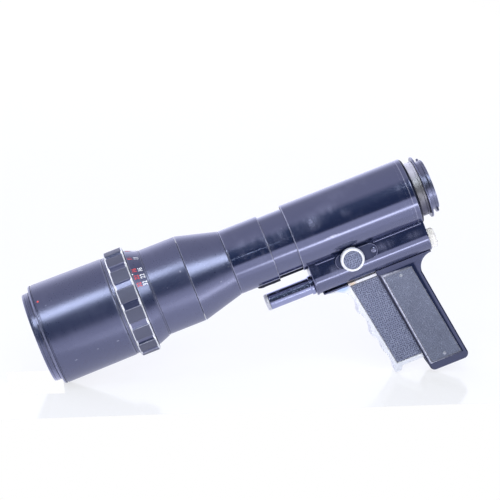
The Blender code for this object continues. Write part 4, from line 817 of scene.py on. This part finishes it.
def housing_group():
    x0, x1, r = reach("housing_tube")
    tube = spun([(x0, r - 1.4), (x0, r - 0.4, 0.2, 0.32), (x0 + 0.4, r, 0.25, 0.28),
                 (x1 - 0.15, r, 0.12, 0.2), (x1, r - 0.2), (x1, r - 1.4)], 200, soft=0.2)
    channel = box((x0 - 2.0, -CHANNEL_HALF, -36.0), (CHANNEL_END, CHANNEL_HALF, -26.0))
    to_piece(combine(tube, cut(channel)), "housing_tube_smooth", gloss, "housing", ["housing_tube"])

    x0, x1, r = reach("rear_trim_ring")
    trim = turned("trim_ring_grooved", [
        (x0, 24.3), (x0, r, 0.12, 0.35), (x0 + 3.2, r, 0.12, 0.15), (x0 + 3.2, r - 0.3), (x0 + 3.5, r - 0.3),
        (x0 + 3.5, r, 0.12, 0.3), (x1 - 1.9, r, 0.3, 0.1), (x1, r - 1.9, 0.3, 0.0), (x1, 24.3),
    ], gloss, "housing", ["rear_trim_ring"], soft=0.12)
    # Painted shade: the trim ring's rear chamfer is coloured black.
    two_tone(trim, rail_black, lambda at, normal: normal.x > 0.4 and at.x > x1 - 2.0)

    x0, x1, r = reach("mount_sleeve")
    shoulder = x0 + 5.0
    turned("mount_sleeve_turned", [
        (x0, THROAT), (x0, 24.0), (shoulder, 24.0), (shoulder, r - 0.4), (shoulder + 0.5, r), (x1 - 2.4, r),
        (x1 - 2.4, r - 0.6), (x1 - 1.8, r - 0.6), (x1 - 1.8, r), (x1, r), (x1, THROAT),
    ], turned_silver, "housing", ["mount_sleeve"], soft=0.2)

    x0, x1, r = reach("bayonet_mount")
    turned("bayonet_flange", [
        (x0, THROAT), (x0, r - 0.3), (x0 + 0.4, r), (-0.3, r), (0.0, r - 0.3), (0.0, r - 2.0),
        (-0.4, r - 2.0), (-0.4, LUG_ROOT), (4.2, LUG_ROOT), (4.2, LUG_R), (6.0, LUG_R), (6.0, LUG_ROOT),
        (x1, LUG_ROOT), (x1, 20.2), (x1 - 0.6, THROAT),
    ], satin_steel, "housing", ["bayonet_mount"], steps=180, soft=0.15, reshape=lugs)


# Lower casting, its covers and the guide tube
CASTING_HALF = 20.75
CASTING_CORNER = 17.0
CASTING_BOTTOM = -56.5
SADDLE = 31.55
DRAFT_DEG = 8.5
RIB_Z = -25.9
GUIDE_R = 7.75
GUIDE_BORE = 4.9
NECK_FRONT, NECK_REAR = -91.0, -49.8    # the slot in which the trigger's neck slides


def casting_section(offset):
    """Round-cornered trough under the tube, whose sides draw in a little towards the top."""
    side = CASTING_HALF - CASTING_CORNER
    level = CASTING_BOTTOM + CASTING_CORNER
    slope = tan(radians(DRAFT_DEG))
    shoulder = arc((-side, level), CASTING_CORNER + offset, 180 - DRAFT_DEG, 270, 24)
    half = -shoulder[0][0]
    for _ in range(6):
        half = -shoulder[0][0] - slope * (-sqrt(SADDLE * SADDLE - half * half) - shoulder[0][1])
    lean = degrees(acos(half / SADDLE))
    mirrored = [(-y, z) for y, z in reversed(shoulder)]
    return shoulder + mirrored + arc((0, 0), SADDLE, -lean, lean - 180, 32)


def casting_loft(steps):
    """Trough through stations; a step is a station and how far it stands out from the plain section."""
    return lofted([[(x, y, z) for y, z in casting_section(offset)] for x, offset in steps])


def casting_group():
    x0, x1, _ = reach("lower_casting")
    block = casting_loft([(x0, 0.0), (x0 + 2.0, 0.0), (x1 - 1.4, 0.0), (x1 - 0.8, 0.0), (x1 - 0.25, -0.25),
                          (x1, -0.8)])
    cavity = box((x0 - 1.0, -13.0, -53.0), (x1 - 8.0, 13.0, 0.0))
    slot = box((NECK_FRONT, -CHANNEL_HALF, -60.0), (NECK_REAR, CHANNEL_HALF, -52.0))
    knob_hole = bore(x1 - 9, x1 + 1, 2.9, 32, "X", GUIDE_AXIS)
    shell = combine(block, cut(cavity), cut(slot), knob_hole)
    to_piece(shell, "casting_shell", gloss, "housing", ["lower_casting"])
    for side, name in SIDES:
        strip = capsule(x0 + 1.0, x1 - 2.0, RIB_Z, 1.35)
        rib = prism(strip, "Y", side * (CASTING_HALF - 3.4), side * (CASTING_HALF - 0.8))
        lean = Matrix.Rotation(radians(side * DRAFT_DEG), 4, "X")
        middle = Vector((0, side * (CASTING_HALF - 2.6), RIB_Z)) * MM
        bmesh.ops.rotate(rib, cent=middle, matrix=lean, verts=rib.verts)
        to_piece(rib, f"casting_rib_{name}", gloss, "housing", soft=1.0)

    x0, x1, _ = reach("front_end_plate")
    collar = x0 - 0.3
    channel = box((x0 - 1, -CHANNEL_HALF, -33.85), (x1 + 1, CHANNEL_HALF, -26.0))
    hole = bore(x0 - 1, x1 + 1, 8.0, 48, "X", GUIDE_AXIS)
    steps = [(x0, -0.1), (x0 + 0.2, 0.4), (x0 + 0.7, 0.6), (x0 + 1.6, 0.6), (x0 + 1.9, 0.4), (x0 + 2.0, 0.0),
             (x1 + 0.3, 0.0)]
    plate = combine(casting_loft(steps), cut(channel), hole)
    to_piece(plate, "end_plate_rounded", gloss, "housing", ["front_end_plate"])

    low, high = corners("bottom_plate")
    plate = prism(fillet(rectangle(low, high), 1.5), "Z", low.z, high.z)
    to_piece(plate, "bottom_plate_rounded", anodised, "housing", ["bottom_plate"], 0.4)

    x0, x1, _ = reach("guide_tube")
    turned("guide_tube_polished", [
        (x0, GUIDE_BORE), (x0, GUIDE_R), (collar - 3.0, GUIDE_R), (collar - 3.0, 8.6), (collar - 2.6, 8.9),
        (collar, 8.9), (collar, GUIDE_R), (x1, GUIDE_R), (x1, GUIDE_BORE),
    ], dark_steel, "housing", ["guide_tube"], steps=96, centre=GUIDE_AXIS, soft=0.2)
    x0, x1, r = reach("guide_tube_cap")
    turned("guide_cap_turned", [
        (x0 + 0.5, 0), (x0 + 0.5, r - 3.6), (x0, r - 3.0), (x0, r - 0.9), (x0 + 0.9, r), (x1, r), (x1, 0),
    ], pale_cap, "housing", ["guide_tube_cap"], steps=96, centre=GUIDE_AXIS, soft=0.2)


# Spring, tension knob and focus lock
WIRE_R = 0.6
COIL_R = 3.6
COIL_TURNS = 9
COIL_STEPS = 32
WIRE_SIDES = 10
NUT_ROOM = 1.2          # the nut comes 1 mm forward
KNURLS = 60
KNURL_DEPTH = 0.3
PIT_PLACE, PIT_STRAY = 0.27, 0.46       # where a pit may lie in its cell of the grid
PIT_FLOOR, PIT_SLOPE = 0.14, 0.28


def spring():
    low, high = corners("return_spring")
    start, end = low.x + WIRE_R, high.x - WIRE_R - NUT_ROOM
    count = COIL_TURNS * COIL_STEPS
    rings = []
    for i in range(count + 1):
        angle = tau * i / COIL_STEPS
        out = Vector((0, cos(angle), sin(angle)))
        centre = Vector((start + (end - start) * i / count, *GUIDE_AXIS[1:])) + out * COIL_R
        ring = []
        for k in range(WIRE_SIDES):
            turn = tau * k / WIRE_SIDES
            ring.append(centre + out * (WIRE_R * cos(turn)) + X * (WIRE_R * sin(turn)))
        rings.append(ring)
    coil = to_piece(lofted(rings), "return_spring_coil", steel, "housing", ["return_spring"])
    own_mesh(coil)


def knurl(along, radius, angle):
    if radius < 8.0 or along < -11.0:
        return along, radius
    return along, radius - KNURL_DEPTH * abs(sin(angle * KNURLS / 2))


def knob_group():
    x0, x1, r = reach("tension_knob")
    face = x1 - 7.2
    turned("tension_knob_knurled", [
        (x0, 0), (x0, 2.5), (face, 2.5), (face, r - 0.8), (face + 0.7, r), (x1 - 1.2, r, 0.2),
        (x1, r - 1.2, 0.3), (x1, 5.2), (x1 - 0.4, 4.6), (x1 - 0.4, 0),
    ], warm_alloy, "tension_knob", ["tension_knob"], steps=240, centre=GUIDE_AXIS, soft=0.2, reshape=knurl)

    low, high = corners("escutcheon")
    front = low.y
    z = (low.z + high.z) / 2
    half = (high.z - low.z) / 2
    rim = 0.6
    field = prism(capsule(low.x + rim, high.x - rim, z, half - rim), "Y", front - 1, front + 0.4)
    plate = combine(prism(capsule(low.x, high.x, z, half), "Y", front, high.y + 3.2), cut(field))
    cover = to_piece(plate, "escutcheon_rimmed", lacquer, "housing", ["escutcheon"], 0.12)
    two_tone(cover, satin_steel, lambda at, _: at.y < front + 0.2)
    low, high = corners("escutcheon_screw")
    slotted("escutcheon_screw_slotted", ((low.x + high.x) / 2, low.y + 0.8, z), "Y", -1, 2.5, 0.8, "housing",
            "escutcheon_screw", 20, satin_steel)

    low, high = corners("lock_knob")
    at = ((low.x + high.x) / 2, 0, (low.z + high.z) / 2)
    face, back = low.y, high.y
    turned("lock_knob_rim", [
        (back, 0), (back, 7.0), (back - 1.6, 7.0), (back - 1.6, 10.3), (back - 2.2, 10.9),
        (face + 1.2, 10.9, 0.5), (face, 9.9, 0.5), (face, 8.6), (face + 1.3, 8.5), (face + 1.3, 0),
    ], alloy, "lock_knob", ["lock_knob"], steps=120, axis="Y", centre=at, soft=0.25)
    disc("lock_knob_hide", at, face, 8.25)


def pebble(x, z, grain, seed):
    """Height of pitted leather, from 0 in a pit to 1 between the pits, which lie on a loose grid."""
    u, v = x / grain, z / grain
    nearest = 9.0
    for column in range(floor(u) - 1, floor(u) + 2):
        for row in range(floor(v) - 1, floor(v) + 2):
            stray = noise.cell_vector(Vector((column + 0.5, row + 0.5, seed)))
            across = u - column - PIT_PLACE - PIT_STRAY * stray.x
            up = v - row - PIT_PLACE - PIT_STRAY * stray.y
            nearest = min(nearest, hypot(across, up))
    return min(1.0, max(0.0, (nearest - PIT_FLOOR) / PIT_SLOPE))


def disc(name, at, face, radius):
    """Round leather insert with a slight dome and raised pebbles."""
    bm, grain, _ = fresh("grain", "edge")
    rings, sectors = 36, 150
    loops = []
    for i in range(rings + 1):
        r = radius * i / rings
        loop = []
        for k in range(sectors if i else 1):
            angle = tau * k / sectors
            x, z = at[0] + r * cos(angle), at[2] + r * sin(angle)
            lump = pebble(x, z, 1.9, 3.5)
            lift = 0.35 * (1 - (r / radius) ** 4) + 0.22 * lump * min(1.0, (radius - r) / 0.8)
            vert = bm.verts.new(Vector((x, face + 0.25 - lift, z)) * MM)
            vert[grain] = lump
            loop.append(vert)
        loops.append(loop)
    back = [bm.verts.new((vert.co.x, (face + 1.0) * MM, vert.co.z)) for vert in loops[-1]]
    bm.faces.new(back)
    skin(bm, [*loops, back])
    to_piece(bm, name, knob_hide, "lock_knob", ["lock_knob_leather"])


# Grip and trigger, in the grip's own coordinates from the corner where it meets the casting
CORNER = Vector((-67.4, 0.0, -56.5))
LEAN = 0.1553
GRIP_DEPTH = 37.6
GRIP_HEIGHT = 106.0
GRIP_HALF = 14.0
GRIP_PLAIN = GRIP_HALF - 1.3    # half width outside the raised frame of a panel
GRIP_EDGE = 1.4
FOOT_R = 5.0
TANG_R = 14.0
BUSH_HOLE = 5.5
BUSH_BORE = 3.2
HIDE_MARGIN = 0.9       # width of a hide's turned-down edge


def hide(name, quad, side, depth, grain_size, rise, cell, look, body, nodes):
    """Side panel as a grid between four corners, with raised pebbles and turned-down edges."""
    top_front, top_rear, bottom_rear, bottom_front = (Vector(c) for c in quad)
    across = max((top_rear - top_front).length, (bottom_rear - bottom_front).length)
    columns = int(across / cell)
    rows = int((bottom_front - top_front).length / cell)
    bm, grain, worn = fresh("grain", "edge")
    grid = []
    for j in range(rows + 1):
        v = j / rows
        left, right = top_front.lerp(bottom_front, v), top_rear.lerp(bottom_rear, v)
        line = []
        for i in range(columns + 1):
            u = i / columns
            point = left.lerp(right, u) + CORNER.xz
            margin = min(u * across, (1 - u) * across, v * rows * cell, (1 - v) * rows * cell)
            turned_down = max(0.0, 1 - margin / HIDE_MARGIN)
            lump = pebble(point.x, point.y, grain_size, side * 7.7)
            lift = rise * lump * min(1.0, margin / 0.8) - 0.45 * turned_down ** 2
            vert = bm.verts.new(Vector((point.x, side * (depth + lift), point.y)) * MM)
            vert[grain] = lump
            vert[worn] = turned_down
            line.append(vert)
        grid.append(line)
    for first, second in zip(grid, grid[1:]):
        for i in range(columns):
            bm.faces.new((first[i], first[i + 1], second[i + 1], second[i]))
    border = grid[0] + [line[-1] for line in grid[1:]]
    border += grid[-1][-2::-1] + [line[0] for line in grid[-2:0:-1]]
    back = [bm.verts.new((vert.co.x, side * (depth - 1.0) * MM, vert.co.z)) for vert in border]
    bm.faces.new(back)
    skin(bm, [border, back])
    to_piece(bm, name, look, body, nodes)


def grip_outline():
    front = LEAN * GRIP_HEIGHT + FOOT_R
    rear = LEAN * GRIP_HEIGHT + GRIP_DEPTH - FOOT_R
    lean_deg = degrees(atan(LEAN))
    outline = arc((front, FOOT_R - GRIP_HEIGHT), FOOT_R, 180 + lean_deg, 270, 14)
    outline += arc((rear, FOOT_R - GRIP_HEIGHT), FOOT_R, 270, 360 + lean_deg, 14)
    tang = LEAN * TANG_R + GRIP_DEPTH + TANG_R
    outline += arc((tang, -TANG_R), TANG_R, 180, 90, 20)
    return outline + [(tang, 5.0), (0, 5.0), (0, 0)]


def inset(outline, depth):
    """Draw a closed outline in by a depth, square to its edges; it runs anticlockwise."""
    points = [Vector(point) for point in outline]
    moved = []
    for i, point in enumerate(points):
        before = (point - points[i - 1]).normalized()
        after = (points[(i + 1) % len(points)] - point).normalized()
        middle = (before + after).normalized()
        inward = Vector((-middle.y, middle.x))
        moved.append(point + inward * (depth / max(0.5, middle.dot(after))))
    return moved


def panel_quad(front, rear_top, rear_foot, top, foot):
    """Corners of the grip panel, each side grown outward."""
    high, low = 5.5 - top, GRIP_HEIGHT - 8.5 + foot
    return [(LEAN * high + 4.2 - front, -high), (LEAN * high + GRIP_DEPTH - 6.4 + rear_top, -high),
            (LEAN * low + GRIP_DEPTH - 4.2 + rear_foot, -low), (LEAN * low + 4.2 - front, -low)]


def grip_loft(rings):
    """Skin outlines in the grip's coordinates, each with its place across the grip."""
    return lofted([[(CORNER.x + x, y, CORNER.z + z) for x, z in outline] for outline, y in rings])


def from_front(at):
    """How far a place lies behind the grip's leaning front edge."""
    return at.x - CORNER.x - LEAN * (CORNER.z - at.z)


def grip_group():
    sides = []
    for k in range(6):
        turn = radians(18 * k)
        shrunk = inset(grip_outline(), GRIP_EDGE * (1 - cos(turn)))
        sides.append((shrunk, GRIP_PLAIN - GRIP_EDGE + GRIP_EDGE * sin(turn)))
    body = grip_loft([(outline, -y) for outline, y in reversed(sides)] + sides)
    seat = prism(casting_section(0.5), "X", -118.0, 2.0)
    floor_z = GRIP_HEIGHT - 6.0
    back = GRIP_DEPTH - 4.5
    room = [(-GRIP_DEPTH, 10.0), (-GRIP_DEPTH, -floor_z), (LEAN * floor_z + back, -floor_z), (back, 0),
            (back, 10.0)]
    low, high = corners("tripod_bush")
    bush = ((low.x + high.x) / 2, 0, 0)
    steps = [cut(seat), cut(prism(room, "Y", -10.5, 10.5, CORNER)),
             bore(low.z - 1, high.z + 1, BUSH_HOLE, 48, "Z", bush)]
    foot = panel_quad(1.9, 3.8, 1.9, 2.9, 1.3)
    brow = panel_quad(1.0, 0.9, 0.8, 0.9, 0.8)
    crown = panel_quad(*[0.4] * 5)
    pocket = panel_quad(*[0.2] * 5)
    groove = [(LEAN * drop + x, -drop) for drop, x in ((3.0, 1.3), (3.0, 1.9), (97.0, 1.9), (97.0, 1.3))]
    plinth = [(foot, GRIP_PLAIN - 0.6), (foot, GRIP_PLAIN), (brow, GRIP_HALF - 0.5),
              (crown, GRIP_HALF - 0.25)]
    for side, _ in SIDES:
        steps.append(join(grip_loft([(quad, side * y) for quad, y in plinth])))
        for shape, inner, outer in ((pocket, GRIP_PLAIN - 0.2, GRIP_HALF + 1.0),
                                    (groove, GRIP_PLAIN - 0.7, GRIP_PLAIN + 1.0)):
            steps.append(cut(prism(shape, "Y", side * inner, side * outer, CORNER)))
    shell = combine(body, *steps)
    # Painted highlight: a pale line along the front ridge of each panel's raised frame, carried in the edge
    # attribute that otherwise holds wear.
    painted_highlight = shell.verts.layers.float.get("edge") or shell.verts.layers.float.new("edge")
    for vert in shell.verts:
        at = vert.co / MM
        highlight_ridge = abs(at.y) > GRIP_HALF - 0.55 and 3.1 < from_front(at) < 4.1
        vert[painted_highlight] = 0.9 if highlight_ridge else 0.0
    grip = to_piece(shell, "grip_shell_framed", plastic, "housing", ["grip_shell"], 0.12)

    # Painted shade: the groove along the front of the grip frame is coloured black.
    def groove_painted_shade(at, _):
        return 1.25 < from_front(at) < 1.95 and GRIP_PLAIN - 0.75 < abs(at.y) < GRIP_PLAIN - 0.05

    two_tone(grip, inner_black, groove_painted_shade)
    outline = [(low.z, BUSH_BORE), (low.z, 5.2), (high.z, 5.2), (high.z, BUSH_BORE)]
    for i in range(6):
        outline += [(high.z - 0.5 - 0.85 * i, BUSH_BORE), (high.z - 0.9 - 0.85 * i, BUSH_BORE + 0.4)]
    turned("tripod_bush_threaded", outline, steel, "housing", ["tripod_bush"], steps=64, axis="Z",
           centre=bush, soft=0.1)
    for side, name in SIDES:
        hide(f"grip_panel_grained_{name}", panel_quad(*[0.0] * 5), side, GRIP_HALF - 0.15, 1.25, 0.16,
             0.33, panel_hide, "housing", [f"grip_panel_{name}"])
        for end in ("upper", "lower"):
            node = f"panel_screw_{name}_{end}"
            low, high = corners(node)
            centre = ((low.x + high.x) / 2, side * (GRIP_HALF - 0.1), (low.z + high.z) / 2)
            dome = [(0.0, 0.0), (0.0, 1.6), (side * 0.45, 1.5), (side * 0.75, 0.8), (side * 0.8, 0.0)]
            to_piece(spun(dome, 32, "Y", centre, 0.12), f"{node}_domed", steel, "housing", [node])


CUSPS = [Vector(p) for p in ((-45.6, -3.3), (-27.6, -29.7), (-23.4, -53.7), (-18.0, -71.6), (-14.2, -95.0))]
HOLLOWS = (9.5, 3.6, 2.2, 2.0)
TRIGGER_HALF = 9.5
TRIGGER_FRONT_LEAN = 0.1826


def leather_quad(grow):
    """Corners of the trigger's leather, each side grown outward."""
    high, low, front, rear = 3.0 - grow, 86.9 + grow, -25.4 - grow, 3.0 + grow
    return [(front, -high), (LEAN * high + rear, -high), (LEAN * low + rear, -low),
            (front + TRIGGER_FRONT_LEAN * (low - high), -low)]


def trigger_group():
    outline = []
    for start, end, depth in zip(CUSPS, CUSPS[1:], HOLLOWS):
        outline += bow(start, end, depth, 22)
    tip = CUSPS[-1]
    outline += [(tip.x, tip.y), (tip.x + 5.5, tip.y), (tip.x + 8.0, -91.0), (LEAN * 91.0 + 4.0, -91.0),
                (LEAN * 0.3 + 4.0, -0.3), (-27.0, -0.3), (-27.0, -2.1), (CUSPS[0].x, -2.1)]
    half = TRIGGER_HALF
    steps = [join(box((-22.0, -5.0, -3.0), (-5.0, 5.0, 3.6), CORNER))]
    for side, _ in SIDES:
        steps.append(cut(prism(leather_quad(0.3), "Y", side * (half - 1.3), side * (half + 1.3), CORNER)))
    body = combine(prism(outline, "Y", -half, half, CORNER), *steps)
    to_piece(body, "trigger_cast", silver, "focus_carriage", ["trigger"], 0.9)
    for side, name in SIDES:
        hide(f"trigger_hide_{name}", leather_quad(0.0), side, half - 0.1, 1.9, 0.30, 0.36, leather,
             "focus_carriage", [f"trigger_leather_{name}"])


# CAD pieces that keep their own shape
def dress_inner_nodes():
    nodes = {
        "lens_cell": anodised, "light_baffle": inner_black, "iris_carrier": inner_black,
        "aperture_sleeve": brass, "aperture_pin": steel, "front_guide_bush": brass, "rear_guide_bush": brass,
        "carriage": steel, "guide_rod": steel, "tension_nut": brass, "lock_shaft": steel, "lock_shoe": brass,
    }
    for i in range(6):
        nodes[f"iris_blade_{i + 1}"] = inner_black
    for name, look in nodes.items():
        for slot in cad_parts[name].material_slots:
            slot.material = look.material


# Stage: floor, surroundings, lamps and camera
UPRIGHT = Vector((sin(radians(STAND_DEG)), 0, cos(radians(STAND_DEG))))
COOL = (0.86, 0.94, 1.0)
CAMERA_AIM = Vector((-0.1656, 0, 0.004))
CAMERA_AWAY = 2.0


def ground():
    """White floor in four strips round an opening, into which the hood goes when it is drawn out."""
    across = Vector((UPRIGHT.z, 0, -UPRIGHT.x))
    strips = ((-900, 700, -112, -38), (-900, 700, 38, 3600), (-326, 700, -38, 38), (-900, -376, -38, 38))
    points = []
    for x0, x1, y0, y1 in strips:
        for x, y in rectangle((x0, y0), (x1, y1)):
            points.append((UPRIGHT * STAND_DROP + across * x + Y * y) * MM)
    mesh = bpy.data.meshes.new("floor")
    mesh.from_pydata(points, [], [range(4 * i, 4 * i + 4) for i in range(len(strips))])
    look = Look("pale_floor", "", (0.86, 0.90, 0.98), 0.10)
    look.set("Roughness", look.span(look.noise(60, 3.0), 0.3, 0.7, 0.08, 0.14))
    path = look.add("ShaderNodeLightPath", {}, {})
    surface = look.shader.outputs[0]
    for ray, share, colour in (("Is Camera Ray", 0.70, (1, 1, 1, 1)),
                               ("Is Glossy Ray", 1.0, (0.97, 0.99, 1.15, 1))):
        glow = look.add("ShaderNodeEmission", {}, {"Color": colour, "Strength": 1.0})
        seen = look.times(path.outputs[ray], share)
        surface = look.add("ShaderNodeMixShader", {}, {0: seen, 1: surface, 2: glow.outputs[0]}).outputs[0]
    look.tree.links.new(surface, look.tree.nodes["Material Output"].inputs["Surface"])
    mesh.materials.append(look.material)
    add_object("floor", mesh)


def surroundings():
    """White behind and below the part, a dark room on the photographer's side, a soft light overhead."""
    world = bpy.data.worlds.new("studio")
    scene.world = world
    world.use_nodes = True
    room = Graph(world.node_tree)
    direction = room.add("ShaderNodeTexCoord", {}, {}).outputs["Generated"]
    inputs = {"Vector": direction, "Angle": -radians(STAND_DEG)}
    stood = room.add("ShaderNodeVectorRotate", {"rotation_type": "Y_AXIS"}, inputs).outputs["Vector"]
    upright = room.add("ShaderNodeSeparateXYZ", {}, {0: stood}).outputs
    leaning = room.add("ShaderNodeSeparateXYZ", {}, {0: direction}).outputs

    def ramp(source, low, high, *stops):
        """Colours along a direction; a stop is a place and a colour or a share from 0 to 1."""
        node = room.add("ShaderNodeValToRGB", {}, {"Fac": room.span(source, low, high)})
        elements = node.color_ramp.elements
        while len(elements) < len(stops):
            elements.new(0.5)
        for element, (place, colour) in zip(elements, stops):
            element.position = (place - low) / (high - low)
            element.color = rgba(tinted(colour, 1 / LIFT) if isinstance(colour, tuple) else (colour,) * 3)
        return node.outputs["Color"]

    pale, over = (1.14, 1.16, 1.36), (0.70, 0.70, 0.83)
    front = ramp(upright["Z"], -1.0, 1.0, (-1.0, pale), (-0.12, pale), (-0.02, (0.022, 0.026, 0.05)),
                 (0.35, (0.03, 0.047, 0.085)), (0.68, (0.10, 0.14, 0.21)), (0.87, over), (1.0, over))
    strip = ramp(upright["Z"], -1.0, 1.0, (-0.63, 0.0), (-0.56, 0.06), (-0.52, 0.85), (-0.49, 0.85),
                 (-0.43, 0.0))
    along = ramp(leaning["X"], 0.0, 0.2, (0.015, 0.0), (0.045, 0.35), (0.060, 0.75), (0.070, 0.75),
                 (0.080, 0.50), (0.110, 0.60))
    front = room.mix(room.times(strip, along), front, tinted((10.5, 10.7, 11.4), 1 / LIFT))
    back = ramp(upright["Z"], -1.0, 1.0, (-1.0, (1.5, 1.52, 1.9)), (0.35, (1.75, 1.78, 2.15)), (0.75, over),
                (1.0, over))
    aside = ramp(leaning["X"], -1.0, 1.0, (0.40, 0.0), (0.65, 1.0))
    back = room.mix(aside, back, tinted((0.05, 0.06, 0.10), 1 / LIFT))
    behind = ramp(upright["Y"], -1.0, 1.0, (-0.22, 0.0), (0.12, 1.0))
    inputs = {"Color": room.mix(behind, front, back), "Strength": LIFT}
    lit = room.add("ShaderNodeBackground", {}, inputs).outputs[0]
    white = room.add("ShaderNodeBackground", {}, {"Color": (1, 1, 1, 1), "Strength": 1.0}).outputs[0]
    seen = room.add("ShaderNodeLightPath", {}, {}).outputs["Is Camera Ray"]
    surface = room.add("ShaderNodeMixShader", {}, {0: seen, 1: lit, 2: white}).outputs[0]
    room.tree.links.new(surface, room.tree.nodes["World Output"].inputs["Surface"])


def lamp(name, place, target, width, height, power, colour=(1, 1, 1), glossy=True):
    data = bpy.data.lights.new(name, "AREA")
    data.shape = "ELLIPSE"
    data.size = width
    data.size_y = height
    data.energy = power
    data.color = colour
    obj = add_object(name, data)
    obj.location = place
    obj.rotation_euler = (Vector(target) - Vector(place)).to_track_quat("-Z", "Y").to_euler()
    obj.visible_glossy = glossy


def camera():
    """Long lens two metres away, nearly square to the side and level with the stand."""
    data = bpy.data.cameras.new("camera")
    data.lens = 160.0
    data.sensor_width = 36.0
    data.clip_end = 50.0
    data.dof.use_dof = False
    ahead, dip = 0.03, 0.2455
    forward = Vector((ahead, sqrt(1 - ahead ** 2 - dip ** 2), -dip))
    right = forward.cross(UPRIGHT).normalized()
    turn = Matrix((right, right.cross(forward), -forward)).transposed()
    obj = add_object("camera", data)
    obj.matrix_world = Matrix.Translation(CAMERA_AIM - forward * CAMERA_AWAY) @ turn.to_4x4()
    scene.camera = obj


front_group()
ring_group()
rear_barrel()
housing_group()
casting_group()
spring()
knob_group()
grip_group()
trigger_group()
dress_inner_nodes()
ground()
surroundings()
lamp("hood_light", (-0.38, -0.59, 0.82), (-0.33, -0.03, 0.03), 0.27, 0.33, 2.1, COOL)
lamp("cone_light", (0.24, -0.66, 0.48), (-0.20, -0.03, 0.02), 0.26, 0.42, 1.95, COOL)
lamp("thin_light", (-0.12, -1.44, 0.50), (-0.167, -0.03, 0.01), 0.05, 0.02, 0.035, (0.80, 0.92, 1.0))
lamp("front_fill", (-0.15, -1.40, 0.55), (-0.15, 0, -0.03), 0.9, 0.6, 13.0, glossy=False)
camera()
scene.view_settings.view_transform = "Standard"
